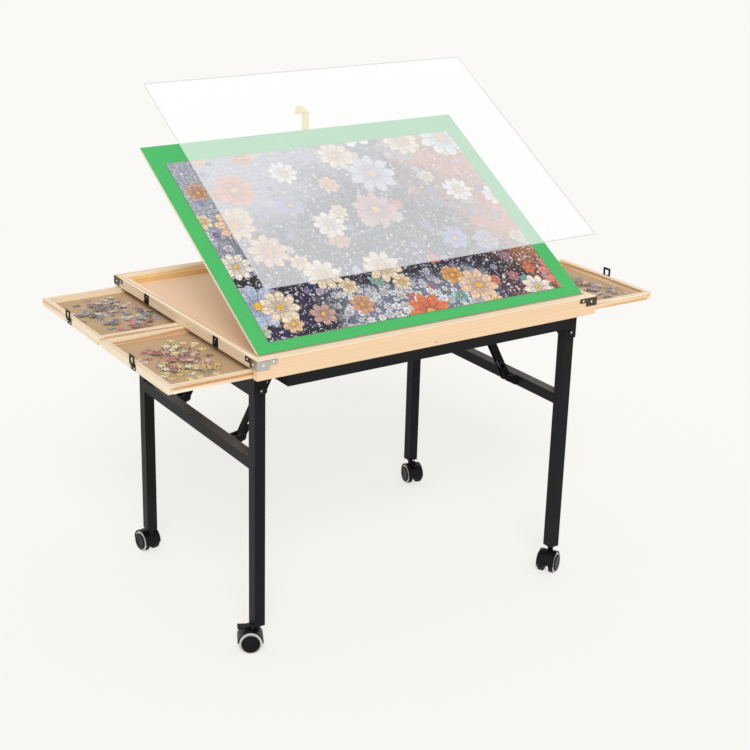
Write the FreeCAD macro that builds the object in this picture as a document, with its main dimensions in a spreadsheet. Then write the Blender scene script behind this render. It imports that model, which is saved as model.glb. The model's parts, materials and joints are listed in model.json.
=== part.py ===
import FreeCAD, Part
import os
import re
import Sketcher

# A folding jigsaw puzzle table on casters: a pine box with four drawers, a tilting felt board with
# a clear cover, and a steel underframe whose two leg frames fold up under the box.
# Millimetres. X runs to the right, Y to the back, Z up, with the origin on the floor under the middle.

# Driving dimensions: lengths in millimetres, angles in degrees.
SIZES = {
    # Pine box
    "box_width": 864,
    "box_depth": 668,
    "top_height": 686,
    "box_height": 42,
    "panel_thick": 15,
    "rim_width": 22,
    "rail_height": 23,
    "side_rim": 15,
    "ledge_width": 12,
    "ledge_drop": 7.7,
    "floor_thick": 3.5,
    "divider_thick": 12,
    "edge_ease": 1.2,
    # Corner brackets
    "bracket_thick": 1.5,
    "bracket_height": 19,
    "bracket_drop": 2,
    "bracket_shoulder": 28,
    "bracket_length": 46,
    "bracket_tab": 10,
    "bracket_hole": 2.2,
    # Drawers and their runners
    "drawer_length": 400,
    "drawer_open": 184,
    "drawer_rail": 12,
    "drawer_gap": 2,
    "drawer_lift": 1.5,
    "drawer_base": 3,
    "drawer_base_rise": 1,
    "runner_width": 6.5,
    "runner_height": 6,
    "runner_rise": 9,
    "runner_inset": 2,
    "runner_clear": 0.3,
    # Drawer latches and catches
    "latch_width": 22,
    "latch_height": 13,
    "latch_thick": 1.5,
    "latch_rise": 1.5,
    "barrel_radius": 2.4,
    "barrel_sink": 1,
    "barrel_length": 12,
    "loop_pin_radius": 1.2,
    "loop_width": 22,
    "loop_bar": 4.5,
    "loop_height": 19,
    "loop_thick": 2,
    "catch_width": 21,
    "catch_height": 22,
    "catch_hole": 2.8,
    "nose_reach": 4.5,
    "nose_width": 8,
    "nose_height": 3.5,
    "nose_rise": 6,
    # Tilting board, its hinges, felt, ribbon and cover
    "tilt": 31,
    "hinge_set": 3,
    "hinge_drop": 5.2,
    "hinge_spread": 280,
    "hinge_length": 60,
    "hinge_middle": 20,
    "knuckle_radius": 2.5,
    "knuckle_gap": 0.3,
    "hinge_pin_radius": 1.2,
    "leaf_thick": 1.2,
    "board_leaf_depth": 24,
    "board_start": 4.5,
    "board_side_gap": 3,
    "board_rear_gap": 6.5,
    "board_thick": 6.3,
    "board_low": 2.3,
    "felt_thick": 1.2,
    "cover_thick": 3,
    "cover_gap": 2.3,
    "cover_forward": 51,
    "cover_lift": 132,
    "ribbon_width": 19,
    "ribbon_thick": 1.2,
    "ribbon_height": 38,
    "ribbon_middle": 5.5,
    # Prop under the board and its racks
    "prop_share": 0.4426,
    "prop_drop": 7,
    "prop_spread": 150,
    "prop_width": 14,
    "prop_thick": 6,
    "prop_pin_radius": 2,
    "prop_ear": 3,
    "prop_ear_gap": 0.3,
    "prop_ear_depth": 16,
    "prop_ear_end": 3.3,
    "prop_base": 1.2,
    "foot_radius": 3,
    "foot_end": 4.4,
    "foot_half": 172,
    "rack_width": 11,
    "rack_side": 10,
    "rack_base": 1.9,
    "rack_tooth": 1.8,
    "rack_pitch": 18,
    "rack_flat": 7.2,
    # Steel underframe
    "tube_size": 25,
    "tube_wall": 1.5,
    "tube_inset": 3,
    "plug_thick": 2,
    "plug_depth": 12,
    "plug_clear": 0.1,
    "leg_size": 25,
    "leg_wall": 1.5,
    "leg_base": 12,
    "leg_inset": 40.5,
    "leg_end_inset": 45,
    "nest_gap": 2,
    "tube_leg_gap": 19,
    "pivot_drop": 46,
    "channel_height": 60,
    "channel_web": 2,
    "channel_web_gap": 0.5,
    "channel_plate": 2.5,
    "channel_neck": 18,
    "channel_reach": 15,
    "channel_chamfer": 8.5,
    "leg_side_gap": 0.3,
    "bolt_radius": 4,
    "bolt_head_radius": 6.5,
    "bolt_head": 3,
    "nut_radius": 7.5,
    "nut_thick": 6,
    "second_hole": 2,
    "second_hole_rise": 4.2,
    "stretcher_drop": 211.5,
    # Folding braces
    "brace_spread": 130,
    "brace_offset": 34.5,
    "brace_rise": 7.5,
    "brace_pin_drop": 18.6,
    "brace_angle": 62,
    "brace_width": 16,
    "brace_depth": 16,
    "brace_wall": 2,
    "brace_pin_radius": 3,
    "brace_hole": 3.2,
    "brace_window": 22,
    "brace_window_height": 9,
    "brace_window_rise": 40,
    "brace_hole_share": 0.6,
    "clevis_ear": 3,
    "clevis_gap": 0.5,
    "clevis_end": 8,
    "clevis_base": 2.5,
    "guide_gap": 5,
    "guide_wall": 2,
    "guide_height": 30,
    # Casters
    "caster_height": 61,
    "wheel_radius": 25,
    "wheel_width": 12.5,
    "wheel_ease": 1.4,
    "wheel_dish": 1.2,
    "wheel_hub": 16.6,
    "tread_depth": 1.8,
    "axle_radius": 3,
    "caster_trail": 14,
    "hood_radius": 28,
    "hood_width": 40,
    "hood_web": 13,
    "hood_hub": 12,
    "wheel_gap": 0.5,
    "pocket_gap": 0.6,
    "neck_radius": 6.4,
    "neck_base": 46,
    "stem_radius": 5.5,
    "stem_gap": 0.3,
    "front_left_trail": 153,
    "front_right_trail": 147,
    "rear_left_trail": 96,
    "rear_right_trail": 102,
    "lever_rise": 56.5,
    "lever_hub": 3,
    "lever_hub_width": 8,
    "lever_width": 18,
    "lever_length": 28,
    "lever_thick": 3,
    "lever_pin_radius": 1.5,
    "lever_ear": 2.5,
    "lever_ear_end": 3.5,
    # Running clearance of a pin or shaft in its bore, on the radius
    "running": 0.05,
    # How far a cutting shape runs past the faces that it cuts
    "overrun": 1,
}

# Places that follow from the driving dimensions.
DERIVED = {
    "half_width": "box_width / 2",
    "half_depth": "box_depth / 2",
    "box_bottom": "top_height - box_height",
    "rail_bottom": "top_height - rail_height",
    "ledge_top": "top_height - ledge_drop",
    "floor_top": "rail_bottom + floor_thick",
    "panel_inner": "half_depth - panel_thick",
    "rim_inner": "half_depth - rim_width",
    "side_rim_inner": "half_width - side_rim",
    "rail_inner": "side_rim_inner - ledge_width",
    "bracket_top": "top_height - bracket_drop",
    "bracket_tab_low": "bracket_top - bracket_tab",
    "drawer_low": "box_bottom + drawer_lift",
    "drawer_high": "rail_bottom - drawer_lift",
    "drawer_in": "divider_thick / 2 + drawer_gap",
    "drawer_out": "panel_inner - drawer_gap",
    "drawer_mid": "(drawer_in + drawer_out) / 2",
    "runner_low": "drawer_low + runner_rise - runner_height / 2",
    "runner_high": "runner_low + runner_height",
    "groove_depth": "runner_width - drawer_gap + runner_clear",
    "latch_low": "drawer_low + latch_rise",
    "latch_axis": "latch_low + latch_height - latch_thick / 3",
    "latch_out": "latch_thick + barrel_radius - barrel_sink",
    "catch_low": "rail_bottom",
    "hinge_y": "hinge_set - rim_inner",
    "hinge_z": "top_height - hinge_drop",
    "board_half": "side_rim_inner - board_side_gap",
    "board_length": "2 * rim_inner - hinge_set - board_start - board_rear_gap",
    "board_end": "board_start + board_length",
    "board_top": "board_thick - board_low",
    "felt_top": "board_top + felt_thick",
    "ribbon_base": "hinge_z + board_end * sin(tilt) + felt_top * cos(tilt)",
    "ribbon_near": "hinge_y + board_end * cos(tilt) - felt_top * sin(tilt)",
    "ribbon_depth": "ribbon_thick * cos(tilt)",
    "prop_along": "prop_share * board_length",
    "prop_pivot_y": "hinge_y + prop_along * cos(tilt) + prop_drop * sin(tilt)",
    "prop_pivot_z": "hinge_z + prop_along * sin(tilt) - prop_drop * cos(tilt)",
    "prop_length": "prop_along + prop_drop * (1 - cos(tilt)) / sin(tilt)",
    "foot_y": "prop_pivot_y + prop_length * cos(tilt)",
    "leg_x": "half_width - leg_inset",
    "right_leg_y": "half_depth - leg_end_inset",
    "left_leg_y": "right_leg_y - leg_size - nest_gap",
    "leg_half": "leg_size / 2",
    "pivot_z": "box_bottom - pivot_drop",
    "tube_half": "tube_size / 2",
    "tube_low": "box_bottom - tube_size",
    "long_half": "leg_x - leg_half - tube_leg_gap",
    "long_outer": "half_depth - tube_inset",
    "long_inner": "long_outer - tube_size",
    "cross_x": "long_half - tube_half",
    "channel_low": "box_bottom - channel_height",
    "channel_out": "leg_x + leg_half + channel_web_gap + channel_web",
    "channel_in": "leg_x - channel_reach",
    "stretcher_in": "leg_x - leg_half",
    "stretcher_height": "box_bottom - stretcher_drop",
    "brace_x": "leg_x - brace_offset",
    "brace_z": "stretcher_height + brace_rise",
    "brace_length": "(box_bottom - brace_pin_drop - brace_z) / sin(brace_angle)",
    "clevis_in": "brace_width / 2 + clevis_gap",
    "clevis_out": "clevis_in + clevis_ear",
    "guide_in": "brace_width / 2 + guide_gap",
    "guide_out": "guide_in + guide_wall",
    "wheel_in": "hood_web / 2 + wheel_gap",
    "wheel_out": "wheel_in + wheel_width",
    "pocket_radius": "wheel_radius + pocket_gap",
    "stem_low": "caster_height - stem_gap",
    "lever_ear_in": "lever_hub_width / 2 + stem_gap",
    "lever_ear_out": "lever_ear_in + lever_ear",
}

WORD = re.compile(r"[a-z][a-z_0-9]*")
doc = FreeCAD.newDocument("puzzle_table")
nodes = []


def ex(text, own=()):
    """Name the sheet that holds each size in a formula; sizes of the formula's own sheet stay bare."""
    def full_name(word):
        name = word.group(0)
        if name in own:
            return name
        if name in SIZES:
            return "Sizes." + name
        if name in DERIVED:
            return "Derived." + name
        return name
    return WORD.sub(full_name, str(text))


def sheet(name, cells):
    """A spreadsheet with one named cell a row."""
    table = doc.addObject("Spreadsheet::Sheet", name)
    for row, (alias, content) in enumerate(cells.items(), start=1):
        table.set(f"A{row}", alias)
        table.set(f"B{row}", content)
        table.setAlias(f"B{row}", alias)


sheet("Sizes", {alias: str(value) for alias, value in SIZES.items()})
sheet("Derived", {alias: "=" + ex(formula, own=DERIVED) for alias, formula in DERIVED.items()})
doc.recompute()


def bind(thing, prop, formula):
    thing.setExpression(prop, ex(formula))


def side(sign, near, far):
    """The range near..far on the positive or the negative side of the middle plane."""
    return (near, far) if sign > 0 else (f"-({far})", f"-({near})")


def about(middle, width):
    """A range of the given width about a middle."""
    return f"{middle} - ({width}) / 2", f"{middle} + ({width}) / 2"


def box(x, y, z):
    """A block between two values on each axis."""
    block = doc.addObject("Part::Box", "Block")
    for prop, axis, (low, high) in zip(("Length", "Width", "Height"), "xyz", (x, y, z)):
        bind(block, prop, f"({high}) - ({low})")
        bind(block, f"Placement.Base.{axis}", low)
    return block


ALONG = {
    "x": FreeCAD.Rotation(FreeCAD.Vector(0, 1, 0), 90),
    "y": FreeCAD.Rotation(FreeCAD.Vector(1, 0, 0), -90),
    "z": FreeCAD.Rotation(),
}


def rod(radius, x, y, z):
    """A round bar: the coordinate given as a range is the one that it runs along."""
    bar = doc.addObject("Part::Cylinder", "Rod")
    bind(bar, "Radius", radius)
    starts = {}
    for axis, value in zip("xyz", (x, y, z)):
        starts[axis] = value
        if isinstance(value, tuple):
            starts[axis], end = value
            bar.Placement = FreeCAD.Placement(FreeCAD.Vector(), ALONG[axis])
            bind(bar, "Height", f"({end}) - ({starts[axis]})")
    for axis, start in starts.items():
        bind(bar, f"Placement.Base.{axis}", start)
    return bar


def outline(body, plane, points, holes):
    """A sketch on one of the body's own planes: a closed polygon and round holes, fully dimensioned."""
    sketch = body.newObject("Sketcher::SketchObject", "Outline")
    support = next(feature for feature in body.Origin.OriginFeatures if feature.Role == plane)
    sketch.AttachmentSupport = [(support, "")]
    sketch.MapMode = "FlatFace"
    count = len(points)
    for index in range(count):
        start = FreeCAD.Vector(index, index * index, 0)
        after = (index + 1) % count
        sketch.addGeometry(Part.LineSegment(start, FreeCAD.Vector(after, after * after, 0)), False)
    for index in range(count):
        sketch.addConstraint(Sketcher.Constraint("Coincident", index, 2, (index + 1) % count, 1))
    marks = [(index, 1, across, up) for index, (across, up) in enumerate(points)]
    for across, up, radius in holes:
        circle = sketch.addGeometry(Part.Circle(FreeCAD.Vector(), FreeCAD.Vector(0, 0, 1), 1), False)
        size = sketch.addConstraint(Sketcher.Constraint("Radius", circle, 1))
        bind(sketch, f"Constraints[{size}]", radius)
        marks.append((circle, 3, across, up))
    for geometry, corner, across, up in marks:
        for kind, formula in (("DistanceX", across), ("DistanceY", up)):
            place = sketch.addConstraint(Sketcher.Constraint(kind, -1, 1, geometry, corner, 1.0))
            bind(sketch, f"Constraints[{place}]", formula)
    return sketch


NORMAL = {"XY_Plane": "z", "XZ_Plane": "y", "YZ_Plane": "x"}


def profile(plane, points, span, holes=()):
    """A polygon with holes, padded over a range of the axis that its plane faces."""
    body = doc.addObject("PartDesign::Body", "Profile")
    sketch = outline(body, plane, points, holes)
    pad = body.newObject("PartDesign::Pad", "Pad")
    pad.Profile = sketch
    pad.SideType = "Symmetric"
    low, high = span
    bind(pad, "Length", f"({high}) - ({low})")
    bind(body, f"Placement.Base.{NORMAL[plane]}", f"(({high}) + ({low})) / 2")
    return body


def turned(points):
    """A ring turned about the Y axis from its half section of (y, radius) corners."""
    body = doc.addObject("PartDesign::Body", "Turned")
    sketch = outline(body, "YZ_Plane", points, ())
    ring = body.newObject("PartDesign::Revolution", "Revolution")
    ring.Profile = sketch
    ring.ReferenceAxis = (sketch, ["H_Axis"])
    ring.Angle = 360
    return body


def fuse(*pieces):
    joined = doc.addObject("Part::MultiFuse", "Fuse")
    joined.Shapes = list(pieces)
    return joined


def cut(base, *tools):
    left = doc.addObject("Part::Cut", "Cut")
    left.Base = base
    left.Tool = tools[0] if len(tools) == 1 else fuse(*tools)
    return left


def group(*pieces):
    """Separate solids kept together."""
    held = doc.addObject("Part::Compound", "Group")
    held.Links = list(pieces)
    return held


def mirror(piece, axis):
    """The same piece on the other side of the middle plane across the given axis."""
    copy = doc.addObject("Part::Mirroring", "Mirror")
    copy.Source = piece
    copy.Normal = FreeCAD.Vector(axis == "x", axis == "y", axis == "z")
    return copy


def four_corners(piece):
    return [piece, mirror(piece, "x"), mirror(piece, "y"), mirror(mirror(piece, "x"), "y")]


def turn(piece, axis, angle, x, y, z):
    """Turn a piece about its own origin, then move that origin to a place."""
    held = group(piece)
    held.Placement = FreeCAD.Placement(FreeCAD.Vector(), FreeCAD.Rotation(FreeCAD.Vector(*axis), 1))
    bind(held, "Placement.Rotation.Angle", angle)
    for name, value in zip("xyz", (x, y, z)):
        bind(held, f"Placement.Base.{name}", value)
    return held


def node(label, piece):
    """Keep a piece as a named sub-part of the table."""
    piece.Label = label
    nodes.append(piece)


# Pine box: front and rear panels over the full width, thicker above the drawers where they are the
# rim of the tray, and side rails between them with a ledge for the board.
for label, sign in (("front_panel", -1), ("rear_panel", 1)):
    section = [
        ("half_depth", "box_bottom"),
        ("half_depth", "top_height - edge_ease"),
        ("half_depth - edge_ease", "top_height"),
        ("rim_inner + edge_ease", "top_height"),
        ("rim_inner", "top_height - edge_ease"),
        ("rim_inner", "rail_bottom"),
        ("panel_inner", "rail_bottom"),
        ("panel_inner", "box_bottom"),
    ]
    corners = [(f"{sign} * ({across})", up) for across, up in section]
    node(label, profile("YZ_Plane", corners, side(-1, "-half_width", "half_width")))

for label, sign in (("left_side_rail", -1), ("right_side_rail", 1)):
    section = [
        ("half_width", "rail_bottom"),
        ("half_width", "top_height - edge_ease"),
        ("half_width - edge_ease", "top_height"),
        ("side_rim_inner + edge_ease", "top_height"),
        ("side_rim_inner", "top_height - edge_ease"),
        ("side_rim_inner", "ledge_top"),
        ("rail_inner", "ledge_top"),
        ("rail_inner", "rail_bottom"),
    ]
    corners = [(f"{sign} * ({across})", up) for across, up in section]
    node(label, profile("XZ_Plane", corners, ("-rim_inner", "rim_inner")))

node("tray_floor", box(("-rail_inner", "rail_inner"), ("-rim_inner", "rim_inner"),
                       ("rail_bottom", "floor_top")))
node("rear_ledge", box(("-rail_inner", "rail_inner"), ("rim_inner - ledge_width", "rim_inner"),
                       ("floor_top", "ledge_top")))

# Drawer divider along the middle, and a pair of runners for each drawer.
node("drawer_divider", box(("runner_inset - half_width", "half_width - runner_inset"),
                           about("0", "divider_thick"), ("box_bottom", "rail_bottom")))
runners = []
for wall_low, wall_high in (("panel_inner - runner_width", "panel_inner"),
                            ("divider_thick / 2", "divider_thick / 2 + runner_width")):
    runner = box(("half_width - drawer_length + runner_inset", "half_width - drawer_rail / 2 - runner_inset"),
                 (wall_low, wall_high), ("runner_low", "runner_high"))
    runners += four_corners(runner)
node("drawer_runners", group(*runners))

# Corner brackets: sheet metal bent round each corner of the box, tall at the bend, with a narrower
# holed tab along the top at each end.
def bracket_outline(edge, start):
    shoulder = f"{edge} - bracket_shoulder"
    tip = f"{edge} - bracket_length"
    low = "bracket_top - bracket_height"
    return [(start, low), (start, "bracket_top"), (tip, "bracket_top"), (tip, "bracket_tab_low"),
            (shoulder, "bracket_tab_low"), (shoulder, low)]


def bracket_hole(edge):
    across = f"{edge} - (bracket_shoulder + bracket_length) / 2"
    return [(across, "bracket_top - bracket_tab / 2", "bracket_hole")]


rear_leaf = profile("XZ_Plane", bracket_outline("half_width", "half_width + bracket_thick"),
                    ("half_depth", "half_depth + bracket_thick"), bracket_hole("half_width"))
side_leaf = profile("YZ_Plane", bracket_outline("half_depth", "half_depth"),
                    ("half_width", "half_width + bracket_thick"), bracket_hole("half_depth"))
node("corner_brackets", group(*four_corners(fuse(rear_leaf, side_leaf))))

# Catches: a plate with a hole and a nose on the side rail above each drawer.
catch_y = about("drawer_mid", "catch_width")
catch_top = "catch_low + catch_height"
catch_plate = profile("YZ_Plane",
                      [(catch_y[0], "catch_low"), (catch_y[1], "catch_low"),
                       (catch_y[1], catch_top), (catch_y[0], catch_top)],
                      ("half_width", "half_width + latch_thick"),
                      [("drawer_mid", f"{catch_top} - nose_rise", "catch_hole")])
catch_nose = box(("half_width + latch_thick", "half_width + latch_thick + nose_reach"),
                 about("drawer_mid", "nose_width"),
                 ("catch_low + nose_rise", "catch_low + nose_rise + nose_height"))
node("latch_catches", group(*four_corners(fuse(catch_plate, catch_nose))))


# Drawers: a wooden frame grooved for its runners, a thin bottom between its rails, and on its outer
# end a latch plate with a barrel that carries a swinging loop.
def drawer(name, across, along, opened):
    outer = f"half_width + {opened}"
    inner = f"{outer} - drawer_length"
    low_high = ("drawer_low", "drawer_high")
    ends = side(across, f"{inner} + drawer_rail", f"{outer} - drawer_rail")
    sides = side(along, "drawer_in + drawer_rail", "drawer_out - drawer_rail")
    blank = box(side(across, inner, outer), side(along, "drawer_in", "drawer_out"), low_high)
    grooved = [side(along, near, far) for near, far in (("drawer_in", "drawer_in + groove_depth"),
                                                         ("drawer_out - groove_depth", "drawer_out"))]
    groove_z = ("runner_low - runner_clear", "runner_high + runner_clear")
    grooves = [box(side(across, inner, outer), groove_y, groove_z) for groove_y in grooved]
    end_wall = side(across, f"{outer} - drawer_rail / 2", outer)
    stops = [box(end_wall, groove_y, low_high) for groove_y in grooved]
    node(f"{name}_drawer_frame", fuse(cut(blank, box(ends, sides, low_high), *grooves), *stops))
    node(f"{name}_drawer_bottom", box(ends, sides, ("drawer_low + drawer_base_rise",
                                                    "drawer_low + drawer_base_rise + drawer_base")))

    middle = f"{along} * drawer_mid"
    axis_x = f"{across} * ({outer} + latch_out)"
    barrel = rod("barrel_radius", axis_x, about(middle, "barrel_length"), "latch_axis")
    plate = box(side(across, outer, f"{outer} + latch_thick"), about(middle, "latch_width"),
                ("latch_low", "latch_low + latch_height"))
    bore = rod("loop_pin_radius + running", axis_x, about(middle, "latch_width"), "latch_axis")
    node(f"{name}_latch_plate", cut(fuse(plate, barrel), bore))

    loop_x = side(across, f"{outer} + latch_out - loop_thick / 2", f"{outer} + latch_out + loop_thick / 2")
    loop_top = "latch_axis + loop_height"
    frame = box(loop_x, about(middle, "loop_width"), ("latch_axis", loop_top))
    window = box(loop_x, about(middle, "loop_width - 2 * loop_bar"), ("latch_axis", f"{loop_top} - loop_bar"))
    pin = rod("loop_pin_radius", axis_x, about(middle, "loop_width"), "latch_axis")
    node(f"{name}_latch_loop", fuse(cut(frame, window), pin))


drawer("left_rear", -1, 1, "drawer_open")
drawer("left_front", -1, -1, "drawer_open")
drawer("right_front", 1, -1, "drawer_open")
drawer("right_rear", 1, 1, "0")


# Board hinges: three butt hinges along the front of the tray. The frame leaf is screwed to the front
# panel and holds the end knuckles and the pin; the board leaf holds the middle knuckle.
def tilted(piece):
    """Place a piece that is drawn flat about the hinge axis at the board's resting tilt."""
    return turn(piece, (1, 0, 0), "tilt", "0", "hinge_y", "hinge_z")


frame_leaves = []
board_leaves = []
for position in ("-hinge_spread", "0", "hinge_spread"):
    left, right = about(position, "hinge_length")
    notch_left, notch_right = about(position, "hinge_middle + 2 * knuckle_gap")
    leaf_low = "floor_top + knuckle_gap"
    notch = "hinge_z - knuckle_radius - knuckle_gap"
    plate = profile("XZ_Plane",
                    [(left, leaf_low), (right, leaf_low), (right, "hinge_z"), (notch_right, "hinge_z"),
                     (notch_right, notch), (notch_left, notch), (notch_left, "hinge_z"), (left, "hinge_z")],
                    ("-rim_inner", "leaf_thick - rim_inner"))
    ends = [rod("knuckle_radius", span, "hinge_y", "hinge_z")
            for span in ((left, notch_left), (notch_right, right))]
    bore = rod("hinge_pin_radius + running", (left, right), "hinge_y", "hinge_z")
    pin = rod("hinge_pin_radius", (left, right), "hinge_y", "hinge_z")
    frame_leaves += [cut(fuse(plate, *ends), bore), pin]

    middle = about(position, "hinge_middle")
    leaf_z = ("-board_low - leaf_thick", "-board_low")
    slab = box((left, right), ("knuckle_radius + 2 * knuckle_gap", "board_leaf_depth"), leaf_z)
    tongue = box(middle, ("-hinge_pin_radius / 2", "board_start"), (leaf_z[0], "-hinge_pin_radius / 2"))
    knuckle = rod("knuckle_radius", middle, "0", "0")
    board_leaves.append(cut(fuse(slab, cut(tongue, box((left, right), ("knuckle_radius", "board_start"),
                                                       ("-board_low", "0"))), knuckle),
                            rod("hinge_pin_radius + running", (left, right), "0", "0")))
node("board_hinge_frame_leaves", group(*frame_leaves))
node("board_hinge_board_leaves", tilted(group(*board_leaves)))

# Work board: a thin wood panel with felt over all of it.
board_x = ("-board_half", "board_half")
board_y = ("board_start", "board_end")
node("board_panel", tilted(box(board_x, board_y, ("-board_low", "board_top"))))
node("felt_sheet", tilted(box(board_x, board_y, ("board_top", "felt_top"))))

# Pull ribbon: webbing glued to the board's rear edge, standing up and folded over to the left.
ribbon_right = "ribbon_middle + ribbon_width / 2"
ribbon_left = "ribbon_middle - ribbon_width / 2"
ribbon_tail = f"{ribbon_left} - ribbon_width"
fold_low = "ribbon_base + ribbon_height"
fold_high = f"{fold_low} + ribbon_width"
ribbon_flap = box((ribbon_left, ribbon_right), ("board_end", "board_end + ribbon_thick"),
                  ("-board_low", "felt_top"))
ribbon_stand = profile("XZ_Plane",
                       [(ribbon_left, "ribbon_base"), (ribbon_right, "ribbon_base"), (ribbon_right, fold_low),
                        (ribbon_left, fold_high), (ribbon_tail, fold_high), (ribbon_tail, fold_low),
                        (ribbon_left, fold_low)],
                       ("ribbon_near", "ribbon_near + ribbon_depth"))
node("pull_ribbon", fuse(tilted(ribbon_flap), ribbon_stand))

# Clear cover: a sheet as large as the board, lifted off it and held forward.
cover_low = "felt_top + cover_gap + cover_lift"
node("clear_cover", tilted(box(board_x, ("board_start + cover_forward", "board_end + cover_forward"),
                               (cover_low, f"{cover_low} + cover_thick"))))

# Prop brackets under the board: a base plate with two ears and a pin each.
prop_brackets = []
for sign in (-1, 1):
    middle = f"{sign} * prop_spread"
    ear_in = "prop_width / 2 + prop_ear_gap"
    ear_out = f"{ear_in} + prop_ear"
    bracket_x = about(middle, f"2 * ({ear_out})")
    base = box(bracket_x, about("prop_along", "prop_ear_depth"), ("-board_low - prop_base", "-board_low"))
    ears = []
    for way in (-1, 1):
        ear_x = (f"{middle} + ({way}) * ({ear_in})", f"{middle} + ({way}) * ({ear_out})")[::way]
        ears.append(box(ear_x, about("prop_along", "2 * prop_ear_end"),
                        ("-prop_drop", "-board_low - prop_base")))
        ears.append(rod("prop_ear_end", ear_x, "prop_along", "-prop_drop"))
    bore = rod("prop_pin_radius + running", bracket_x, "prop_along", "-prop_drop")
    pin = rod("prop_pin_radius", bracket_x, "prop_along", "-prop_drop")
    prop_brackets += [cut(fuse(base, *ears), bore), pin]
node("prop_brackets", tilted(group(*prop_brackets)))


# Prop: two flat arms hung from the brackets, and a foot bar through their lower ends. It is as long
# as brings the foot to the same height at the resting tilt as when the board lies flat.
def propped(piece):
    return turn(piece, (-1, 0, 0), "tilt", "0", "prop_pivot_y", "prop_pivot_z")


arms = []
for sign in (-1, 1):
    arm_x = about(f"{sign} * prop_spread", "prop_width")
    arm = fuse(box(arm_x, ("0", "prop_length"), about("0", "prop_thick")),
               rod("prop_thick / 2", arm_x, "0", "0"),
               rod("foot_end", arm_x, "prop_length", "0"))
    arms.append(cut(arm, rod("prop_pin_radius + running", arm_x, "0", "0"),
                    rod("foot_radius + running", arm_x, "prop_length", "0")))
node("prop_arms", propped(group(*arms)))
node("prop_foot_bar", propped(rod("foot_radius", ("-foot_half", "foot_half"), "prop_length", "0")))

# Tilt racks: notched strips on the tray floor, with one notch under the foot bar at rest.
NOTCHES_FORWARD = 5
NOTCHES_BACK = 3
rack_top = "floor_top + rack_base + rack_tooth"
rack_points = [(f"foot_y - ({NOTCHES_FORWARD} + 0.5) * rack_pitch", "floor_top")]
for notch in range(-NOTCHES_FORWARD, NOTCHES_BACK + 1):
    rack_points.append((f"foot_y + ({notch} - 0.5) * rack_pitch", rack_top))
    rack_points.append((f"foot_y + {notch} * rack_pitch - rack_flat / 2", "floor_top + rack_base"))
    rack_points.append((f"foot_y + {notch} * rack_pitch + rack_flat / 2", "floor_top + rack_base"))
rack_points.append((f"foot_y + ({NOTCHES_BACK} + 0.5) * rack_pitch", rack_top))
rack_points.append((f"foot_y + ({NOTCHES_BACK} + 0.5) * rack_pitch", "floor_top"))
rack = profile("YZ_Plane", rack_points,
               ("prop_spread + rack_side", "prop_spread + rack_side + rack_width"))
node("tilt_racks", group(rack, mirror(rack, "x")))


# Underframe: square steel tubes under the box, with plastic plugs in the free ends of the long ones.
def square_tube(axis, length, middles, size, wall):
    """An open square tube along x or y, centred on the two given places of the other axes."""
    outer = {axis: length}
    inner = {axis: length}
    for name, middle in middles.items():
        outer[name] = about(middle, size)
        inner[name] = about(middle, f"{size} - 2 * {wall}")
    return cut(box(outer["x"], outer["y"], outer["z"]), box(inner["x"], inner["y"], inner["z"]))


tube_z = "tube_low + tube_half"
long_tubes = []
for sign in (-1, 1):
    middle = f"{sign} * (long_inner + tube_half)"
    long_tubes.append(square_tube("x", ("plug_thick - long_half", "long_half - plug_thick"),
                                  {"y": middle, "z": tube_z}, "tube_size", "tube_wall"))
    plug_size = "tube_size - 2 * tube_wall - 2 * plug_clear"
    cap = box(("long_half - plug_thick", "long_half"), about(middle, "tube_size"), about(tube_z, "tube_size"))
    spigot = box(("long_half - plug_thick - plug_depth", "long_half - plug_thick"),
                 about(middle, plug_size), about(tube_z, plug_size))
    plug = fuse(cap, spigot)
    long_tubes += [plug, mirror(plug, "x")]
node("long_frame_tubes", group(*long_tubes))
node("cross_frame_tubes", group(*[
    square_tube("y", ("-long_inner", "long_inner"), {"x": middle, "z": tube_z}, "tube_size", "tube_wall")
    for middle in ("-cross_x", "0", "cross_x")
]))


# Leg channels: folded plate at each end of the underframe. Its end plates and cheeks straddle the leg
# tops, and the neck of each end plate meets the cross tube.
def leg_channel(across, leg_y):
    plate_near = f"{leg_y} + leg_half + leg_side_gap"
    plate_far = f"{plate_near} + channel_plate"
    cheek_far = f"{leg_y} - leg_half - leg_side_gap"
    cheek_near = f"{cheek_far} - channel_plate"
    plate_outline = [
        ("channel_out", "channel_low"),
        ("channel_in + channel_chamfer", "channel_low"),
        ("channel_in", "channel_low + channel_chamfer"),
        ("channel_in", "box_bottom - channel_neck"),
        ("long_half", "box_bottom - channel_neck"),
        ("long_half", "box_bottom"),
        ("channel_out", "box_bottom"),
    ]
    cheek_outline = plate_outline[:3] + [("channel_in", "box_bottom"), ("channel_out", "box_bottom")]
    pivot_hole = (f"{across} * leg_x", "pivot_z", "bolt_radius + running")
    lock_hole = (f"{across} * leg_x", "channel_low + second_hole_rise", "second_hole")
    pieces = [
        box(side(across, "channel_out - channel_web", "channel_out"), (f"-({plate_far})", plate_far),
            ("channel_low", "box_bottom")),
        box(side(across, "channel_in", "channel_out"), (f"-({plate_far})", plate_far),
            ("box_bottom - channel_web", "box_bottom")),
    ]
    for along in (-1, 1):
        for corners, span, holes in (
            (plate_outline, side(along, plate_near, plate_far), [pivot_hole, lock_hole]),
            (cheek_outline, side(along, cheek_near, cheek_far), [pivot_hole]),
        ):
            placed = [(f"{across} * ({x})", z) for x, z in corners]
            pieces.append(profile("XZ_Plane", placed, span, holes))
    return fuse(*pieces)


LEG_SIDES = (("left", -1, "left_leg_y"), ("right", 1, "right_leg_y"))
node("leg_channels", group(*[leg_channel(across, leg_y) for _, across, leg_y in LEG_SIDES]))

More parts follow.
